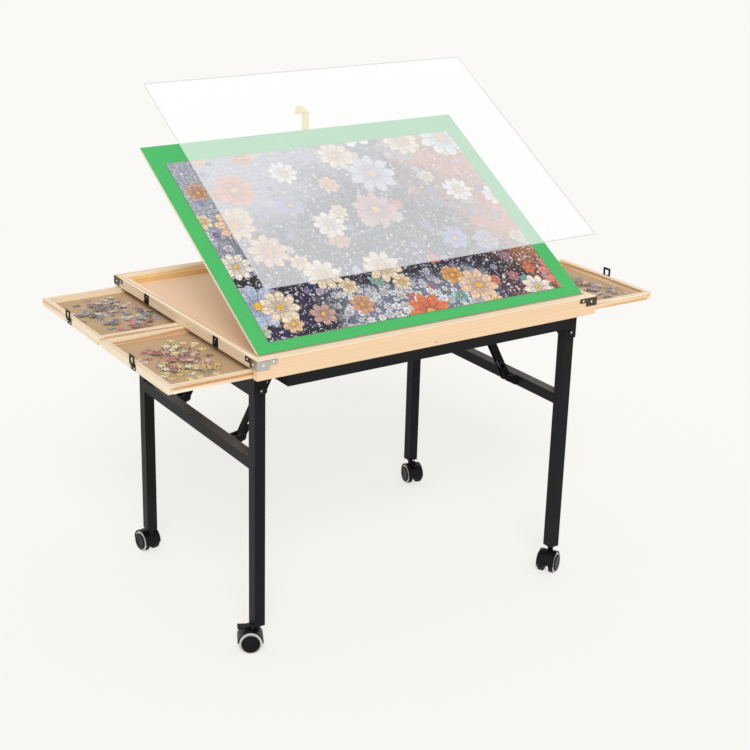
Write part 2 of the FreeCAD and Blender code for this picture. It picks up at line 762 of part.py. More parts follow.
# Leg pivot bolts: through the end plate, the leg and the cheek, with a hexagon nut on the inside.
bolts = []
for _, across, leg_y in LEG_SIDES:
    bolt_x = f"{across} * leg_x"
    plate_face = f"{leg_y} + leg_half + leg_side_gap + channel_plate"
    cheek_face = f"{leg_y} - leg_half - leg_side_gap - channel_plate"
    shank = rod("bolt_radius", bolt_x, (f"{cheek_face} - nut_thick", plate_face), "pivot_z")
    head = rod("bolt_head_radius", bolt_x, (plate_face, f"{plate_face} + bolt_head"), "pivot_z")
    nut = doc.addObject("Part::Prism", "Nut")
    nut.Polygon = 6
    nut.Placement = FreeCAD.Placement(FreeCAD.Vector(), ALONG["y"])
    bind(nut, "Circumradius", "nut_radius")
    bind(nut, "Height", "nut_thick")
    for axis, value in zip("xyz", (bolt_x, f"{cheek_face} - nut_thick", "pivot_z")):
        bind(nut, f"Placement.Base.{axis}", value)
    bolt = fuse(shank, head, nut)
    bolts += [bolt, mirror(bolt, "y")]
node("leg_pivot_bolts", group(*bolts))

# Brace guides: inverted channels between the cross tubes, which the upper brace ends run in.
guide_x = ("tube_half", "cross_x - tube_half")
guide_blank = box(guide_x, ("brace_spread - guide_out", "brace_spread + guide_out"),
                  ("box_bottom - guide_height", "box_bottom"))
guide_hollow = box(guide_x, ("brace_spread - guide_in", "brace_spread + guide_in"),
                   ("box_bottom - guide_height", "box_bottom - guide_wall"))
node("brace_guides", group(*four_corners(cut(guide_blank, guide_hollow))))

# Leg frames: two square tube legs with rounded tops on the pivot bolts, a solid foot bored for the
# caster stem, and a stretcher between them.
for name, across, leg_y in LEG_SIDES:
    legs = []
    for along in (-1, 1):
        leg_middle = f"{along} * {leg_y}"
        leg_ys = about(leg_middle, "leg_size")
        leg_xs = about(f"{across} * leg_x", "leg_size")
        solid = fuse(box(leg_xs, leg_ys, ("caster_height", "pivot_z")),
                     rod("leg_half", f"{across} * leg_x", leg_ys, "pivot_z"))
        hollow = box(about(f"{across} * leg_x", "leg_size - 2 * leg_wall"),
                     about(leg_middle, "leg_size - 2 * leg_wall"), ("caster_height + leg_base", "pivot_z"))
        stem_bore = rod("stem_radius + running", f"{across} * leg_x", leg_middle,
                        ("caster_height", "caster_height + leg_base + leg_wall"))
        pivot_bore = rod("bolt_radius + running", f"{across} * leg_x", leg_ys, "pivot_z")
        legs.append(cut(solid, hollow, stem_bore, pivot_bore))
    node(f"{name}_legs", group(*legs))
    stretcher_end = f"{leg_y} - leg_half"
    node(f"{name}_stretcher", square_tube("y", (f"-({stretcher_end})", stretcher_end),
                                          {"x": f"{across} * leg_x", "z": "stretcher_height"},
                                          "leg_size", "leg_wall"))

# Brace clevises: a base on the stretcher's inner face with two ears and a pin.
clevis_y = ("brace_spread - clevis_out", "brace_spread + clevis_out")
clevis_base = box(side(-1, "stretcher_in - clevis_base", "stretcher_in"), clevis_y,
                  about("stretcher_height", "leg_size"))
clevis_ears = []
for ear_y in (("brace_spread - clevis_out", "brace_spread - clevis_in"),
              ("brace_spread + clevis_in", "brace_spread + clevis_out")):
    ear_points = [
        ("-(stretcher_in - clevis_base)", "stretcher_height - leg_half"),
        ("-brace_x", "brace_z - clevis_end"),
        ("-brace_x", "brace_z + clevis_end"),
        ("-(stretcher_in - clevis_base)", "stretcher_height + leg_half"),
    ]
    clevis_ears.append(profile("XZ_Plane", ear_points, ear_y))
    clevis_ears.append(rod("clevis_end", "-brace_x", ear_y, "brace_z"))
clevis_bore = rod("brace_pin_radius + running", "-brace_x", clevis_y, "brace_z")
clevis_pin = rod("brace_pin_radius", "-brace_x", clevis_y, "brace_z")
clevis = group(cut(fuse(clevis_base, *clevis_ears), clevis_bore), clevis_pin)
left_clevises = group(clevis, mirror(clevis, "y"))
node("left_brace_clevises", left_clevises)
node("right_brace_clevises", mirror(left_clevises, "x"))

# Folding braces: pressed channels with a hole and an oblong window, and a roller pin at the upper end
# that runs in the guide.
brace_y = about("0", "brace_width")
brace_blank = fuse(box(("0", "brace_length"), brace_y, about("0", "brace_depth")),
                   rod("brace_depth / 2", "0", brace_y, "0"),
                   rod("brace_depth / 2", "brace_length", brace_y, "0"))
brace_hollow = box(("-brace_depth", "brace_length + brace_depth"), about("0", "brace_width - 2 * brace_wall"),
                   ("-brace_depth", "brace_depth / 2 - brace_wall"))
window_low, window_high = about("brace_window_rise", "brace_window - brace_window_height")
brace_window = fuse(
    box((window_low, window_high), brace_y, about("0", "brace_window_height")),
    rod("brace_window_height / 2", window_low, brace_y, "0"),
    rod("brace_window_height / 2", window_high, brace_y, "0"),
)
brace = cut(brace_blank, brace_hollow, brace_window,
            rod("brace_hole", "brace_hole_share * brace_length", brace_y, "0"),
            rod("brace_pin_radius + running", "0", brace_y, "0"),
            rod("brace_pin_radius + running", "brace_length", brace_y, "0"))
roller_pin = rod("brace_pin_radius", "brace_length", about("0", "2 * guide_in - 2 * clevis_gap"), "0")
raised_brace = turn(group(brace, roller_pin), (0, -1, 0), "brace_angle", "-brace_x", "brace_spread", "brace_z")
left_braces = group(raised_brace, mirror(raised_brace, "y"))
node("left_braces", left_braces)
node("right_braces", mirror(left_braces, "x"))


# Casters: a drum hood over twin wheels, with a neck and a stem that turns in the leg's foot. Drawn
# about the stem with the wheels trailing along X, then turned. Two of them have a brake lever.
def caster_hood(braked):
    hood_y = about("0", "hood_width")
    hood_x = about("caster_trail", "2 * (hood_radius + overrun)")
    drum = rod("hood_radius", "caster_trail", hood_y, "wheel_radius")
    below = box(hood_x, hood_y, ("wheel_radius - hood_radius - overrun", "wheel_radius"))
    pockets = [rod("pocket_radius", "caster_trail", side(way, "hood_web / 2", "hood_width / 2"), "wheel_radius")
               for way in (-1, 1)]
    added = [
        rod("hood_hub", "caster_trail", about("0", "hood_web"), "wheel_radius"),
        rod("neck_radius", "0", "0", ("neck_base", "stem_low")),
        rod("stem_radius", "0", "0", ("stem_low", "stem_low + leg_base")),
    ]
    bores = [rod("axle_radius + running", "caster_trail", about("0", "hood_web"), "wheel_radius")]
    if braked:
        for way in (-1, 1):
            ear_y = side(way, "lever_ear_in", "lever_ear_out")
            added.append(box(about("caster_trail", "2 * lever_ear_end"), ear_y,
                             ("wheel_radius + (pocket_radius + hood_radius) / 2", "lever_rise")))
            added.append(rod("lever_ear_end", "caster_trail", ear_y, "lever_rise"))
        bores.append(rod("lever_pin_radius + running", "caster_trail", about("0", "2 * lever_ear_out"),
                         "lever_rise"))
    return cut(fuse(cut(drum, below, *pockets), *added), *bores)


def caster_wheels():
    """Twin wheels with a rounded tread and a dished face, and the axle that they turn with."""
    dish = "wheel_out - wheel_dish"
    tread = "wheel_radius - tread_depth"
    section = [
        ("wheel_in", "axle_radius + running"),
        ("wheel_in", "wheel_radius - wheel_ease"),
        ("wheel_in + wheel_ease", "wheel_radius"),
        ("wheel_out - wheel_ease", "wheel_radius"),
        ("wheel_out", "wheel_radius - wheel_ease"),
        ("wheel_out", tread),
        (dish, f"{tread} - wheel_dish"),
        (dish, "wheel_hub + wheel_dish"),
        ("wheel_out", "wheel_hub"),
        ("wheel_out", "axle_radius + running"),
    ]
    wheel = turned(section)
    axle = rod("axle_radius", "0", about("0", "2 * wheel_out"), "0")
    return turn(group(wheel, mirror(wheel, "y"), axle), (0, 1, 0), "0", "caster_trail", "0", "wheel_radius")


def brake_lever():
    hub_y = about("0", "lever_hub_width")
    flare = "caster_trail + lever_hub + lever_ear_end"
    tip = "caster_trail + lever_length"
    paddle = profile("XY_Plane",
                     [("caster_trail", "-lever_hub_width / 2"), (flare, "-lever_hub_width / 2"),
                      (f"{flare} + lever_hub", "-lever_width / 2"), (tip, "-lever_width / 2"),
                      (tip, "lever_width / 2"), (f"{flare} + lever_hub", "lever_width / 2"),
                      (flare, "lever_hub_width / 2"), ("caster_trail", "lever_hub_width / 2")],
                     about("lever_rise", "lever_thick"))
    return fuse(paddle, rod("lever_hub", "caster_trail", hub_y, "lever_rise"),
                rod("lever_pin_radius", "caster_trail", about("0", "2 * lever_ear_out"), "lever_rise"))


CASTERS = (
    ("front_left", -1, "-left_leg_y", 1, True),
    ("rear_left", -1, "left_leg_y", 1, False),
    ("front_right", 1, "-right_leg_y", -1, False),
    ("rear_right", 1, "right_leg_y", -1, True),
)
for name, across, stem_y, way, braked in CASTERS:
    place = ((0, 0, way), f"{name}_trail", f"{across} * leg_x", stem_y, "0")
    node(f"{name}_caster_hood", turn(caster_hood(braked), *place))
    node(f"{name}_caster_wheels", turn(caster_wheels(), *place))
    if braked:
        node(f"{name}_brake_lever", turn(brake_lever(), *place))

doc.recompute()

failed = [thing.Label for thing in doc.Objects if {"Invalid", "Error"} & set(thing.State)]
if failed:
    raise RuntimeError("failed objects: " + ", ".join(failed))
for piece in nodes:
    if piece.Shape.isNull() or not piece.Shape.isValid() or not piece.Shape.Solids:
        raise RuntimeError("bad shape: " + piece.Label)

os.makedirs("parts", exist_ok=True)
for piece in nodes:
    piece.Shape.exportStep(f"parts/{piece.Label}.step")
print(len(nodes), "sub-parts,", sum(len(piece.Shape.Solids) for piece in nodes), "solids")
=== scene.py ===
import bpy
import json
import random
from math import cos, hypot, pi, radians, sin
from mathutils import Matrix, Vector


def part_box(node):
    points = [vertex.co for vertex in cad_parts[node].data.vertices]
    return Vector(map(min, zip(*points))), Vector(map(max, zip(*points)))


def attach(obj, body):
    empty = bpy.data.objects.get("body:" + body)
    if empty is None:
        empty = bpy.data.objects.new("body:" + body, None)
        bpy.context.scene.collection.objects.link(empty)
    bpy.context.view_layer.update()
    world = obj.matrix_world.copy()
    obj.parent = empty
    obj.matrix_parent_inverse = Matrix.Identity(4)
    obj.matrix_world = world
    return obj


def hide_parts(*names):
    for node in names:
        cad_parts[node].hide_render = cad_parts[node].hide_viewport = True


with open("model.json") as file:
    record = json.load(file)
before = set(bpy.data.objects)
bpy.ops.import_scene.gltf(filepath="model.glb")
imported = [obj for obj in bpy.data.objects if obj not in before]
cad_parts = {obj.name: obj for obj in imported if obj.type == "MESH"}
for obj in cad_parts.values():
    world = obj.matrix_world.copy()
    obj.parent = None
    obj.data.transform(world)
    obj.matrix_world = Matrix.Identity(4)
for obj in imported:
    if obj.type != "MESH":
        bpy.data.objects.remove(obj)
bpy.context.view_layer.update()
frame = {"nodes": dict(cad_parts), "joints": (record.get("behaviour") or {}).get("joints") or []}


# Underframe tubes: two long and three cross tubes of 25 mm square steel, welded into a ladder and
# powder coated satin black, with a push-in plastic plug in each end of the long ones. The folded leg
# channels and the brace guides are welded on before coating. All of it is screwed up under the box.
class Value:
    """A socket whose arithmetic adds Math nodes to the finish that it belongs to."""

    def __init__(self, finish, socket):
        self.finish = finish
        self.socket = socket

    def math(self, operation, *terms):
        return self.finish.node("Math", {"operation": operation}, terms)

    def __add__(self, other):
        return self.math("ADD", self, other)

    def __sub__(self, other):
        return self.math("SUBTRACT", self, other)

    def __rsub__(self, other):
        return self.math("SUBTRACT", other, self)

    def __mul__(self, other):
        return self.math("MULTIPLY", self, other)

    def __truediv__(self, other):
        return self.math("DIVIDE", self, other)

    def __pow__(self, other):
        return self.math("POWER", self, other)

    def __gt__(self, other):
        return self.math("GREATER_THAN", self, other)

    def __lt__(self, other):
        return self.math("LESS_THAN", self, other)

    def __abs__(self):
        return self.math("ABSOLUTE", self)

    __radd__ = __add__
    __rmul__ = __mul__

    def least(self, other):
        return self.math("MINIMUM", self, other)

    def most(self, other):
        return self.math("MAXIMUM", self, other)

    def rise(self, low, high):
        """0 below low, 1 above high, and a smooth climb between."""
        return self.finish.node("MapRange", {"interpolation_type": "SMOOTHSTEP"},
                                {"Value": self, "From Min": low, "From Max": high})


class Finish:
    """The node tree of a material or of the world, with one method that adds any node."""

    def __init__(self, owner):
        owner.use_nodes = True
        self.owner = owner
        self.tree = owner.node_tree
        self.place = self.node("TexCoord", output="Object")

    def node(self, kind, settings=None, sockets=(), output=0):
        """Any node: its type, its settings, and the values or links of its sockets by name or in order."""
        made = self.tree.nodes.new("ShaderNode" + kind)
        for name, setting in (settings or {}).items():
            if name == "stops":
                elements = made.color_ramp.elements
                elements[0].position, elements[0].color = setting[0]
                elements[1].position, elements[1].color = setting[-1]
                for position, colour in setting[1:-1]:
                    elements.new(position).color = colour
            else:
                setattr(made, name, setting)
        self.feed(made, sockets)
        return Value(self, made.outputs[output])

    def feed(self, node, sockets):
        for key, given in (sockets.items() if isinstance(sockets, dict) else enumerate(sockets)):
            if isinstance(given, Value):
                self.tree.links.new(given.socket, node.inputs[key])
            else:
                node.inputs[key].default_value = given

    def shade(self, sockets):
        self.feed(self.tree.nodes["Principled BSDF"], sockets)

    def axes(self, vector):
        split = self.node("SeparateXYZ", sockets=[vector]).socket.node
        return [Value(self, output) for output in split.outputs]

    def stretch(self, vector, scale):
        return self.node("VectorMath", {"operation": "MULTIPLY"}, [vector, scale])

    def noise(self, vector, scale, detail, roughness=0.5):
        return self.node("TexNoise", sockets={"Vector": vector, "Scale": scale, "Detail": detail,
                                              "Roughness": roughness})

    def mix(self, share, first, second, mode="MIX"):
        """A blend of two colours, which are sockets 6 and 7 of a Mix node, with the result at 2."""
        return self.node("Mix", {"data_type": "RGBA", "blend_type": mode},
                         {0: share, 6: first, 7: second}, 2)

    def relief(self, height, depth, strength):
        return self.node("Bump", sockets={"Height": height, "Distance": depth, "Strength": strength})

    def normal(self):
        """The way that the surface faces, in the piece's own axes."""
        return self.axes(self.node("TexCoord", output="Normal"))


def srgb(red, green, blue):
    """A colour as a paint card gives it, 0 to 255, in Blender's own light values."""
    return tuple(((tone / 255 + 0.055) / 1.055) ** 2.4 if tone > 10 else tone / 3294.6
                 for tone in (red, green, blue)) + (1.0,)


def dress(finish, *names):
    """Gives a finish to solids of the part."""
    for name in names:
        for slot in frame["nodes"][name].material_slots:
            slot.material = finish.owner


# Pale grey for dust, and for the painted sheen on faces that look up.
DUST_AND_SHEEN = srgb(150, 149, 146)


def powder_coat(name, dark, light, roughness):
    """Black powder coat with a fine orange peel, a few specks, and faces that look up paler: partly dust,
    partly painted sheen.
    """
    coat = Finish(bpy.data.materials.new(name))
    peel = coat.noise(coat.place, 620, 2)
    cloud = coat.noise(coat.place, 14, 5, 0.6)
    speck = coat.noise(coat.place, 1900, 1).rise(0.70, 0.78)
    # Faces that look up are mixed towards pale grey. This is partly dust and partly a painted sheen that
    # stands in for light from above.
    dust_and_top_sheen = coat.normal()[2].rise(0.4, 1.0) * (cloud * 0.25 + 0.18) + speck * 0.04
    coat.shade({
        "Base Color": coat.mix(dust_and_top_sheen, coat.mix(cloud, dark, light), DUST_AND_SHEEN),
        "Roughness": roughness + cloud * 0.14 + speck * 0.2,
        "Normal": coat.relief(peel + speck * 0.3, 0.00012, 0.55),
        "Specular IOR Level": 0.08,
    })
    return coat


frame_black = powder_coat("satin_black_steel", srgb(23, 24, 25), srgb(32, 33, 35), roughness=0.30)
dress(frame_black, "long_frame_tubes", "cross_frame_tubes", "leg_channels", "brace_guides")


# Leg frames: each is two legs of square steel tube joined by a stretcher, with a pair of clevises for
# the braces. They are welded, powder coated like the underframe, and hang on the pivot bolts.
dress(frame_black, "left_legs", "left_stretcher", "left_brace_clevises",
      "right_legs", "right_stretcher", "right_brace_clevises")


# Braces: pressed sheet-steel channels with a hole and an oblong window, powder coated. The pivot bolts
# are blackened steel with a turned head, a bright pin in its middle and a hexagon nut.
brace_black = powder_coat("pressed_black_steel", srgb(14, 15, 16), srgb(24, 25, 26), roughness=0.36)
dress(brace_black, "left_braces", "right_braces")

bolt_black = Finish(bpy.data.materials.new("blackened_bolts"))
lathe_marks = bolt_black.noise(bolt_black.stretch(bolt_black.place, (900, 60, 900)), 1, 3)
bolt_black.shade({
    "Base Color": bolt_black.mix(lathe_marks, srgb(26, 26, 28), srgb(48, 48, 50)),
    "Metallic": 0.6,
    "Roughness": 0.42 + lathe_marks * 0.2,
    "Normal": bolt_black.relief(lathe_marks, 0.0001, 0.4),
})
dress(bolt_black, "leg_pivot_bolts")

screw_steel = Finish(bpy.data.materials.new("plated_screws"))
plating = screw_steel.noise(screw_steel.place, 700, 3)
screw_steel.shade({
    "Base Color": screw_steel.mix(plating, srgb(218, 216, 210), srgb(244, 243, 240)),
    "Metallic": 1.0,
    "Roughness": 0.30 + plating * 0.18,
})


def piece(name, points, faces, finish, body, place=Matrix(), sharp=35):
    """A new mesh piece in the table's frame that moves with one of its bodies."""
    mesh = bpy.data.meshes.new(name)
    mesh.from_pydata(points, [], faces)
    mesh.materials.append(finish.owner)
    mesh.shade_smooth()
    mesh.set_sharp_from_angle(angle=radians(sharp))
    made = bpy.data.objects.new(name, mesh)
    bpy.context.scene.collection.objects.link(made)
    made.matrix_world = place
    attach(made, body)
    return made


def screws(name, seats, radius, height, finish, body):
    """Pan heads with a cross recess, one on each seat: its place and the way that it faces."""
    turns, rings = 28, 7
    recess_long, recess_half, recess_deep = 0.55, 0.15, 0.6
    lip = 0.15
    points, faces = [], []
    for seat, facing in seats:
        turned = Vector(facing).to_track_quat("Z", "Y").to_matrix().to_4x4()
        turned.translation = seat
        first = len(points)
        for ring in range(1, rings + 1):
            share = ring / rings
            for turn in range(turns):
                angle = 2 * pi * turn / turns
                x, y = share * cos(angle), share * sin(angle)
                in_recess = max(abs(x), abs(y)) < recess_long and min(abs(x), abs(y)) < recess_half
                sunk = recess_deep if in_recess else 0.0
                rise = (1 - share ** 4) * (1 - lip) + lip - sunk if ring < rings else 0.0
                points.append(turned @ Vector((radius * x, radius * y, height * rise)))
        for ring in range(rings - 1):
            inner, outer = first + ring * turns, first + (ring + 1) * turns
            for turn in range(turns):
                beside = (turn + 1) % turns
                faces.append((inner + turn, outer + turn, outer + beside, inner + beside))
        faces.append([first + turn for turn in range(turns)])
        faces.append([outer + turn for turn in range(turns)][::-1])
    piece(name, points, faces, finish, body)


LEG_HALF, BOLT_REACH = 0.0125, 0.0058
pin_seats = []
for pair in ("left_legs", "right_legs"):
    low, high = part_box(pair)
    for facing in (-1, 1):
        head = ((low.x + high.x) / 2, facing * (high.y + BOLT_REACH), high.z - LEG_HALF)
        pin_seats.append((head, (0, facing, 0)))
screws("pivot_bolt_pins", pin_seats, radius=0.0018, height=0.0007, finish=screw_steel, body="table")


# Casters: twin-wheel swivel casters of moulded plastic. The hood, the brake levers and the treads are
# black, and a pale grey ring lies in the outer face of each wheel round a raised black hub cap. The stem
# pushes into the leg.
hood_black = Finish(bpy.data.materials.new("moulded_black_hood"))
spark = hood_black.noise(hood_black.place, 2600, 2)
flow = hood_black.noise(hood_black.place, 35, 3)
hood_black.shade({
    "Base Color": hood_black.mix(flow, srgb(9, 9, 10), srgb(17, 17, 18)),
    "Roughness": 0.30 + spark * 0.2,
    "Normal": hood_black.relief(spark, 0.00008, 0.4),
    "Specular IOR Level": 0.15,
})

tread_black = Finish(bpy.data.materials.new("rubbed_black_tread"))
grit = tread_black.noise(tread_black.place, 1300, 3)
scuff = tread_black.noise(tread_black.place, 90, 4, 0.7).rise(0.55, 0.75)
tread_black.shade({
    "Base Color": tread_black.mix(scuff * 0.16, srgb(11, 11, 12), srgb(70, 68, 64)),
    "Roughness": 0.5 + grit * 0.2,
    "Normal": tread_black.relief(grit, 0.00015, 0.5),
    "Specular IOR Level": 0.22,
})

ring_grey = Finish(bpy.data.materials.new("pale_grey_wheel_ring"))
mould = ring_grey.noise(ring_grey.place, 1500, 2)
stain = ring_grey.noise(ring_grey.place, 120, 4, 0.65)
ring_grey.shade({
    "Base Color": ring_grey.mix(stain.rise(0.5, 0.8) * 0.4, srgb(206, 206, 202), srgb(160, 157, 150)),
    "Roughness": 0.36 + mould * 0.12,
    "Normal": ring_grey.relief(mould, 0.00008, 0.3),
})


def lathe(section, turns):
    """Points and faces of a ring turned about the Y axis from its closed section of y and radius."""
    count = len(section)
    points = [(radius * cos(2 * pi * turn / turns), y, radius * sin(2 * pi * turn / turns))
              for turn in range(turns) for y, radius in section]
    faces = []
    for turn in range(turns):
        here, after = turn * count, (turn + 1) % turns * count
        for corner in range(count):
            beside = (corner + 1) % count
            faces.append((here + corner, here + beside, after + beside, after + corner))
    return points, faces


joints = {joint["name"]: joint for joint in frame["joints"]}
WHEEL_TURNS = 64
ring_section = [(0.0184, 0.0178), (0.0190, 0.0176), (0.01965, 0.0180), (0.01965, 0.02365),
                (0.01875, 0.02455), (0.0184, 0.0243)]
cap_section = [(0.0190, 0.0004), (0.0234, 0.0004), (0.0234, 0.0100), (0.0238, 0.0110), (0.0238, 0.0180),
               (0.0236, 0.0195), (0.0231, 0.0202), (0.0222, 0.0203), (0.0200, 0.0190), (0.0190, 0.0172)]
for corner in ("front_left", "rear_left", "front_right", "rear_right"):
    dress(hood_black, corner + "_caster_hood")
    dress(tread_black, corner + "_caster_wheels")
    spin = joints[corner + "_wheel_spin"]
    axle = Vector(spin["axis"]).normalized()
    stand = Matrix((axle.cross((0, 0, 1)), axle, (0, 0, 1))).transposed().to_4x4()
    stand.translation = spin["pos_m"]
    for part, section, finish in (("rings", ring_section, ring_grey),
                                  ("hub_caps", cap_section, hood_black)):
        points, faces = [], []
        for way in (-1, 1):
            turned_points, turned_faces = lathe([(way * y, radius) for y, radius in section], WHEEL_TURNS)
            faces += [[len(points) + index for index in face][::-way] for face in turned_faces]
            points += turned_points
        trim = piece(f"{corner}_wheel_{part}", points, faces, finish, corner + "_wheels", stand)
dress(hood_black, "front_left_brake_lever", "rear_right_brake_lever")


# Pine box: front and rear panels over the full width and side rails between them, planed from pale
# pine strips, glued at the corners and sealed with a thin clear lacquer.
RINGS_PER_METRE = 170
WOOD_FIBRE = srgb(206, 160, 110)


def pine(name, pale, tan, run, pith, shift, lines=0.95, ends=None, top=None):
    """Pine with its rings about a pith line beside the piece, and lines for how strongly they show. The
    grain runs along x or y, and crosses over in the end rails of a frame, beyond the middle and half
    length that ends gives. Faces that look up have the top colour, where one is given: a painted
    highlight."""
    wood = Finish(bpy.data.materials.new(name))
    along, across, up = wood.axes(wood.place)
    if run == "y":
        along, across = across, along
    if ends:
        crossed = abs(along - ends[0]) > ends[1]
        along, across = along + (across - along) * crossed, across + (along - across) * crossed
    grain = wood.node("CombineXYZ", sockets=[along + shift, across + pith[0], up + pith[1]])
    sway = wood.noise(wood.stretch(grain, (1.4, 7, 7)), 1, 3)
    run_out, out, above = wood.axes(grain)
    radius = (out * out + above * above) ** 0.5 + sway * 0.011 + run_out * 0.004
    years = radius * RINGS_PER_METRE
    ring = years.math("FRACT", years)
    late = ring.rise(0.55, 0.92) * (1 - ring.rise(0.96, 1.0))
    streak = wood.noise(wood.stretch(grain, (2.2, 75, 75)), 1, 3)
    fibre = wood.noise(wood.stretch(grain, (16, 900, 900)), 1, 3, 0.65)
    tone = wood.mix(late * lines + streak.rise(0.42, 0.80) * 0.34, pale, tan)
    # Painted highlight: faces that look up take the paler top colour, which stands in for light falling on
    # them.
    if top:
        tone = wood.mix(wood.normal()[2].rise(0.5, 0.8), tone, top)
    wood.shade({
        "Base Color": wood.mix(fibre.rise(0.5, 0.85) * 0.16, tone, WOOD_FIBRE),
        "Roughness": 0.44 + fibre * 0.16 - late * 0.05,
        "Normal": wood.relief(fibre * 0.6 + late * 0.4, 0.00012, 0.45),
        "Coat Weight": 0.12,
        "Coat Roughness": 0.35,
    })
    return wood


PALE = srgb(251, 236, 209)
TAN = srgb(218, 170, 118)
# The front panel's paler top colour is a painted highlight that lifts off the shade that the board and
# cover cast on its top.
dress(pine("front_panel_pine", srgb(239, 207, 170), srgb(226, 186, 142), run="x", pith=(0.40, -0.72),
           shift=0.3, lines=0.3, top=srgb(253, 229, 203)), "front_panel")
dress(pine("rear_panel_pine", PALE, TAN, run="x", pith=(-0.39, -0.60), shift=1.7), "rear_panel")
dress(pine("left_rail_pine", PALE, TAN, run="y", pith=(0.46, -0.60), shift=2.9), "left_side_rail")
dress(pine("right_rail_pine", PALE, TAN, run="y", pith=(-0.48, -0.61), shift=4.1), "right_side_rail")
dress(pine("divider_pine", PALE, TAN, run="x", pith=(0.05, -0.58), shift=5.3),
      "drawer_divider", "drawer_runners")
# The rear ledge's deeper golden pine is painted shade. It stands in for the shade below the rim inside the
# tray.
dress(pine("ledge_pine_painted_shade", srgb(242, 206, 148), srgb(222, 172, 104), run="x", pith=(-0.30, -0.60),
           shift=8.9), "rear_ledge")
BOX_HALF_WIDTH, BOX_HALF_DEPTH = 0.432, 0.334
FRONT_PIN = (-0.004, -BOX_HALF_DEPTH, 0.652)
screws("front_panel_pin", [(FRONT_PIN, (0, -1, 0))], radius=0.0016, height=0.0003, finish=bolt_black,
       body="table")


# Tray floor: a thin sheet of fibreboard in a rebate under the rails, tan, with a felted speckle. The
# notched racks for the prop are bare wood strips glued on it.
def fibreboard(name, main, deep, pale):
    """Pressed wood fibre: soft blotches, a felted speckle and a few pale hairs."""
    board = Finish(bpy.data.materials.new(name))
    felted = board.noise(board.place, 480, 4, 0.7)
    shade = board.noise(board.place, 9, 3)
    hairs = board.noise(board.stretch(board.place, (260, 900, 500)), 1, 2).rise(0.62, 0.72)
    tone = board.mix(felted.rise(0.35, 0.8) * 0.35, board.mix(shade * 0.5, main, deep), deep)
    board.shade({
        "Base Color": board.mix(hairs * 0.35, tone, pale),
        "Roughness": 0.62 + felted * 0.2,
        "Normal": board.relief(felted, 0.0002, 0.35),
        "Specular IOR Level": 0.3,
    })
    return board


dress(fibreboard("tray_fibreboard", srgb(244, 214, 184), srgb(230, 196, 164), srgb(249, 228, 204)),
      "tray_floor")
dress(pine("rack_strip_wood", srgb(232, 200, 152), srgb(206, 160, 108), run="y", pith=(0.09, -0.60),
           shift=6.1), "tilt_racks")


# Corner brackets: sheet steel bent round each corner of the box, plated in a dull bronze, with a narrower
# tab along the top at each end. The front left one carries a painted bright reflection. Pan-head screws
# hold them.
bronze = Finish(bpy.data.materials.new("dull_bronze_plate"))
brushed = bronze.noise(bronze.stretch(bronze.place, (60, 60, 1500)), 1, 3)
patina = bronze.noise(bronze.place, 130, 4, 0.6)
aside, along, _ = bronze.axes(bronze.place)
rightward, rearward, _ = bronze.normal()
# Painted reflection: the front face, and the front end of the left face, of the front left bracket go pale
# silver.
reflecting_faces = (rearward < -0.5) + (rightward < -0.5) * (1 - along.rise(-0.326, -0.306))
painted_reflection = (aside < -0.38) * reflecting_faces * (0.75 + patina * 0.25)
plated = bronze.mix(patina, srgb(64, 59, 50), srgb(104, 97, 84))
bronze.shade({
    "Base Color": bronze.mix(painted_reflection, plated, srgb(206, 202, 193)),
    "Metallic": 1.0,
    "Roughness": 0.30 + brushed * 0.16 + patina * 0.08,
    "Normal": bronze.relief(brushed, 0.00006, 0.3),
})
dress(bronze, "corner_brackets")

PLATE = 0.0015
TAB_SCREW, SHOULDER_SCREW = (0.037, 0.679), (0.014, 0.6745)
bracket_seats = []
for left_right in (-1, 1):
    for front_back in (-1, 1):
        for inset, up in (TAB_SCREW, SHOULDER_SCREW):
            long_face = (left_right * (BOX_HALF_WIDTH - inset), front_back * (BOX_HALF_DEPTH + PLATE), up)
            side_face = (left_right * (BOX_HALF_WIDTH + PLATE), front_back * (BOX_HALF_DEPTH - inset), up)
            bracket_seats += [(long_face, (0, front_back, 0)), (side_face, (left_right, 0, 0))]
screws("bracket_screws", bracket_seats, radius=0.0024, height=0.0009, finish=screw_steel, body="table")


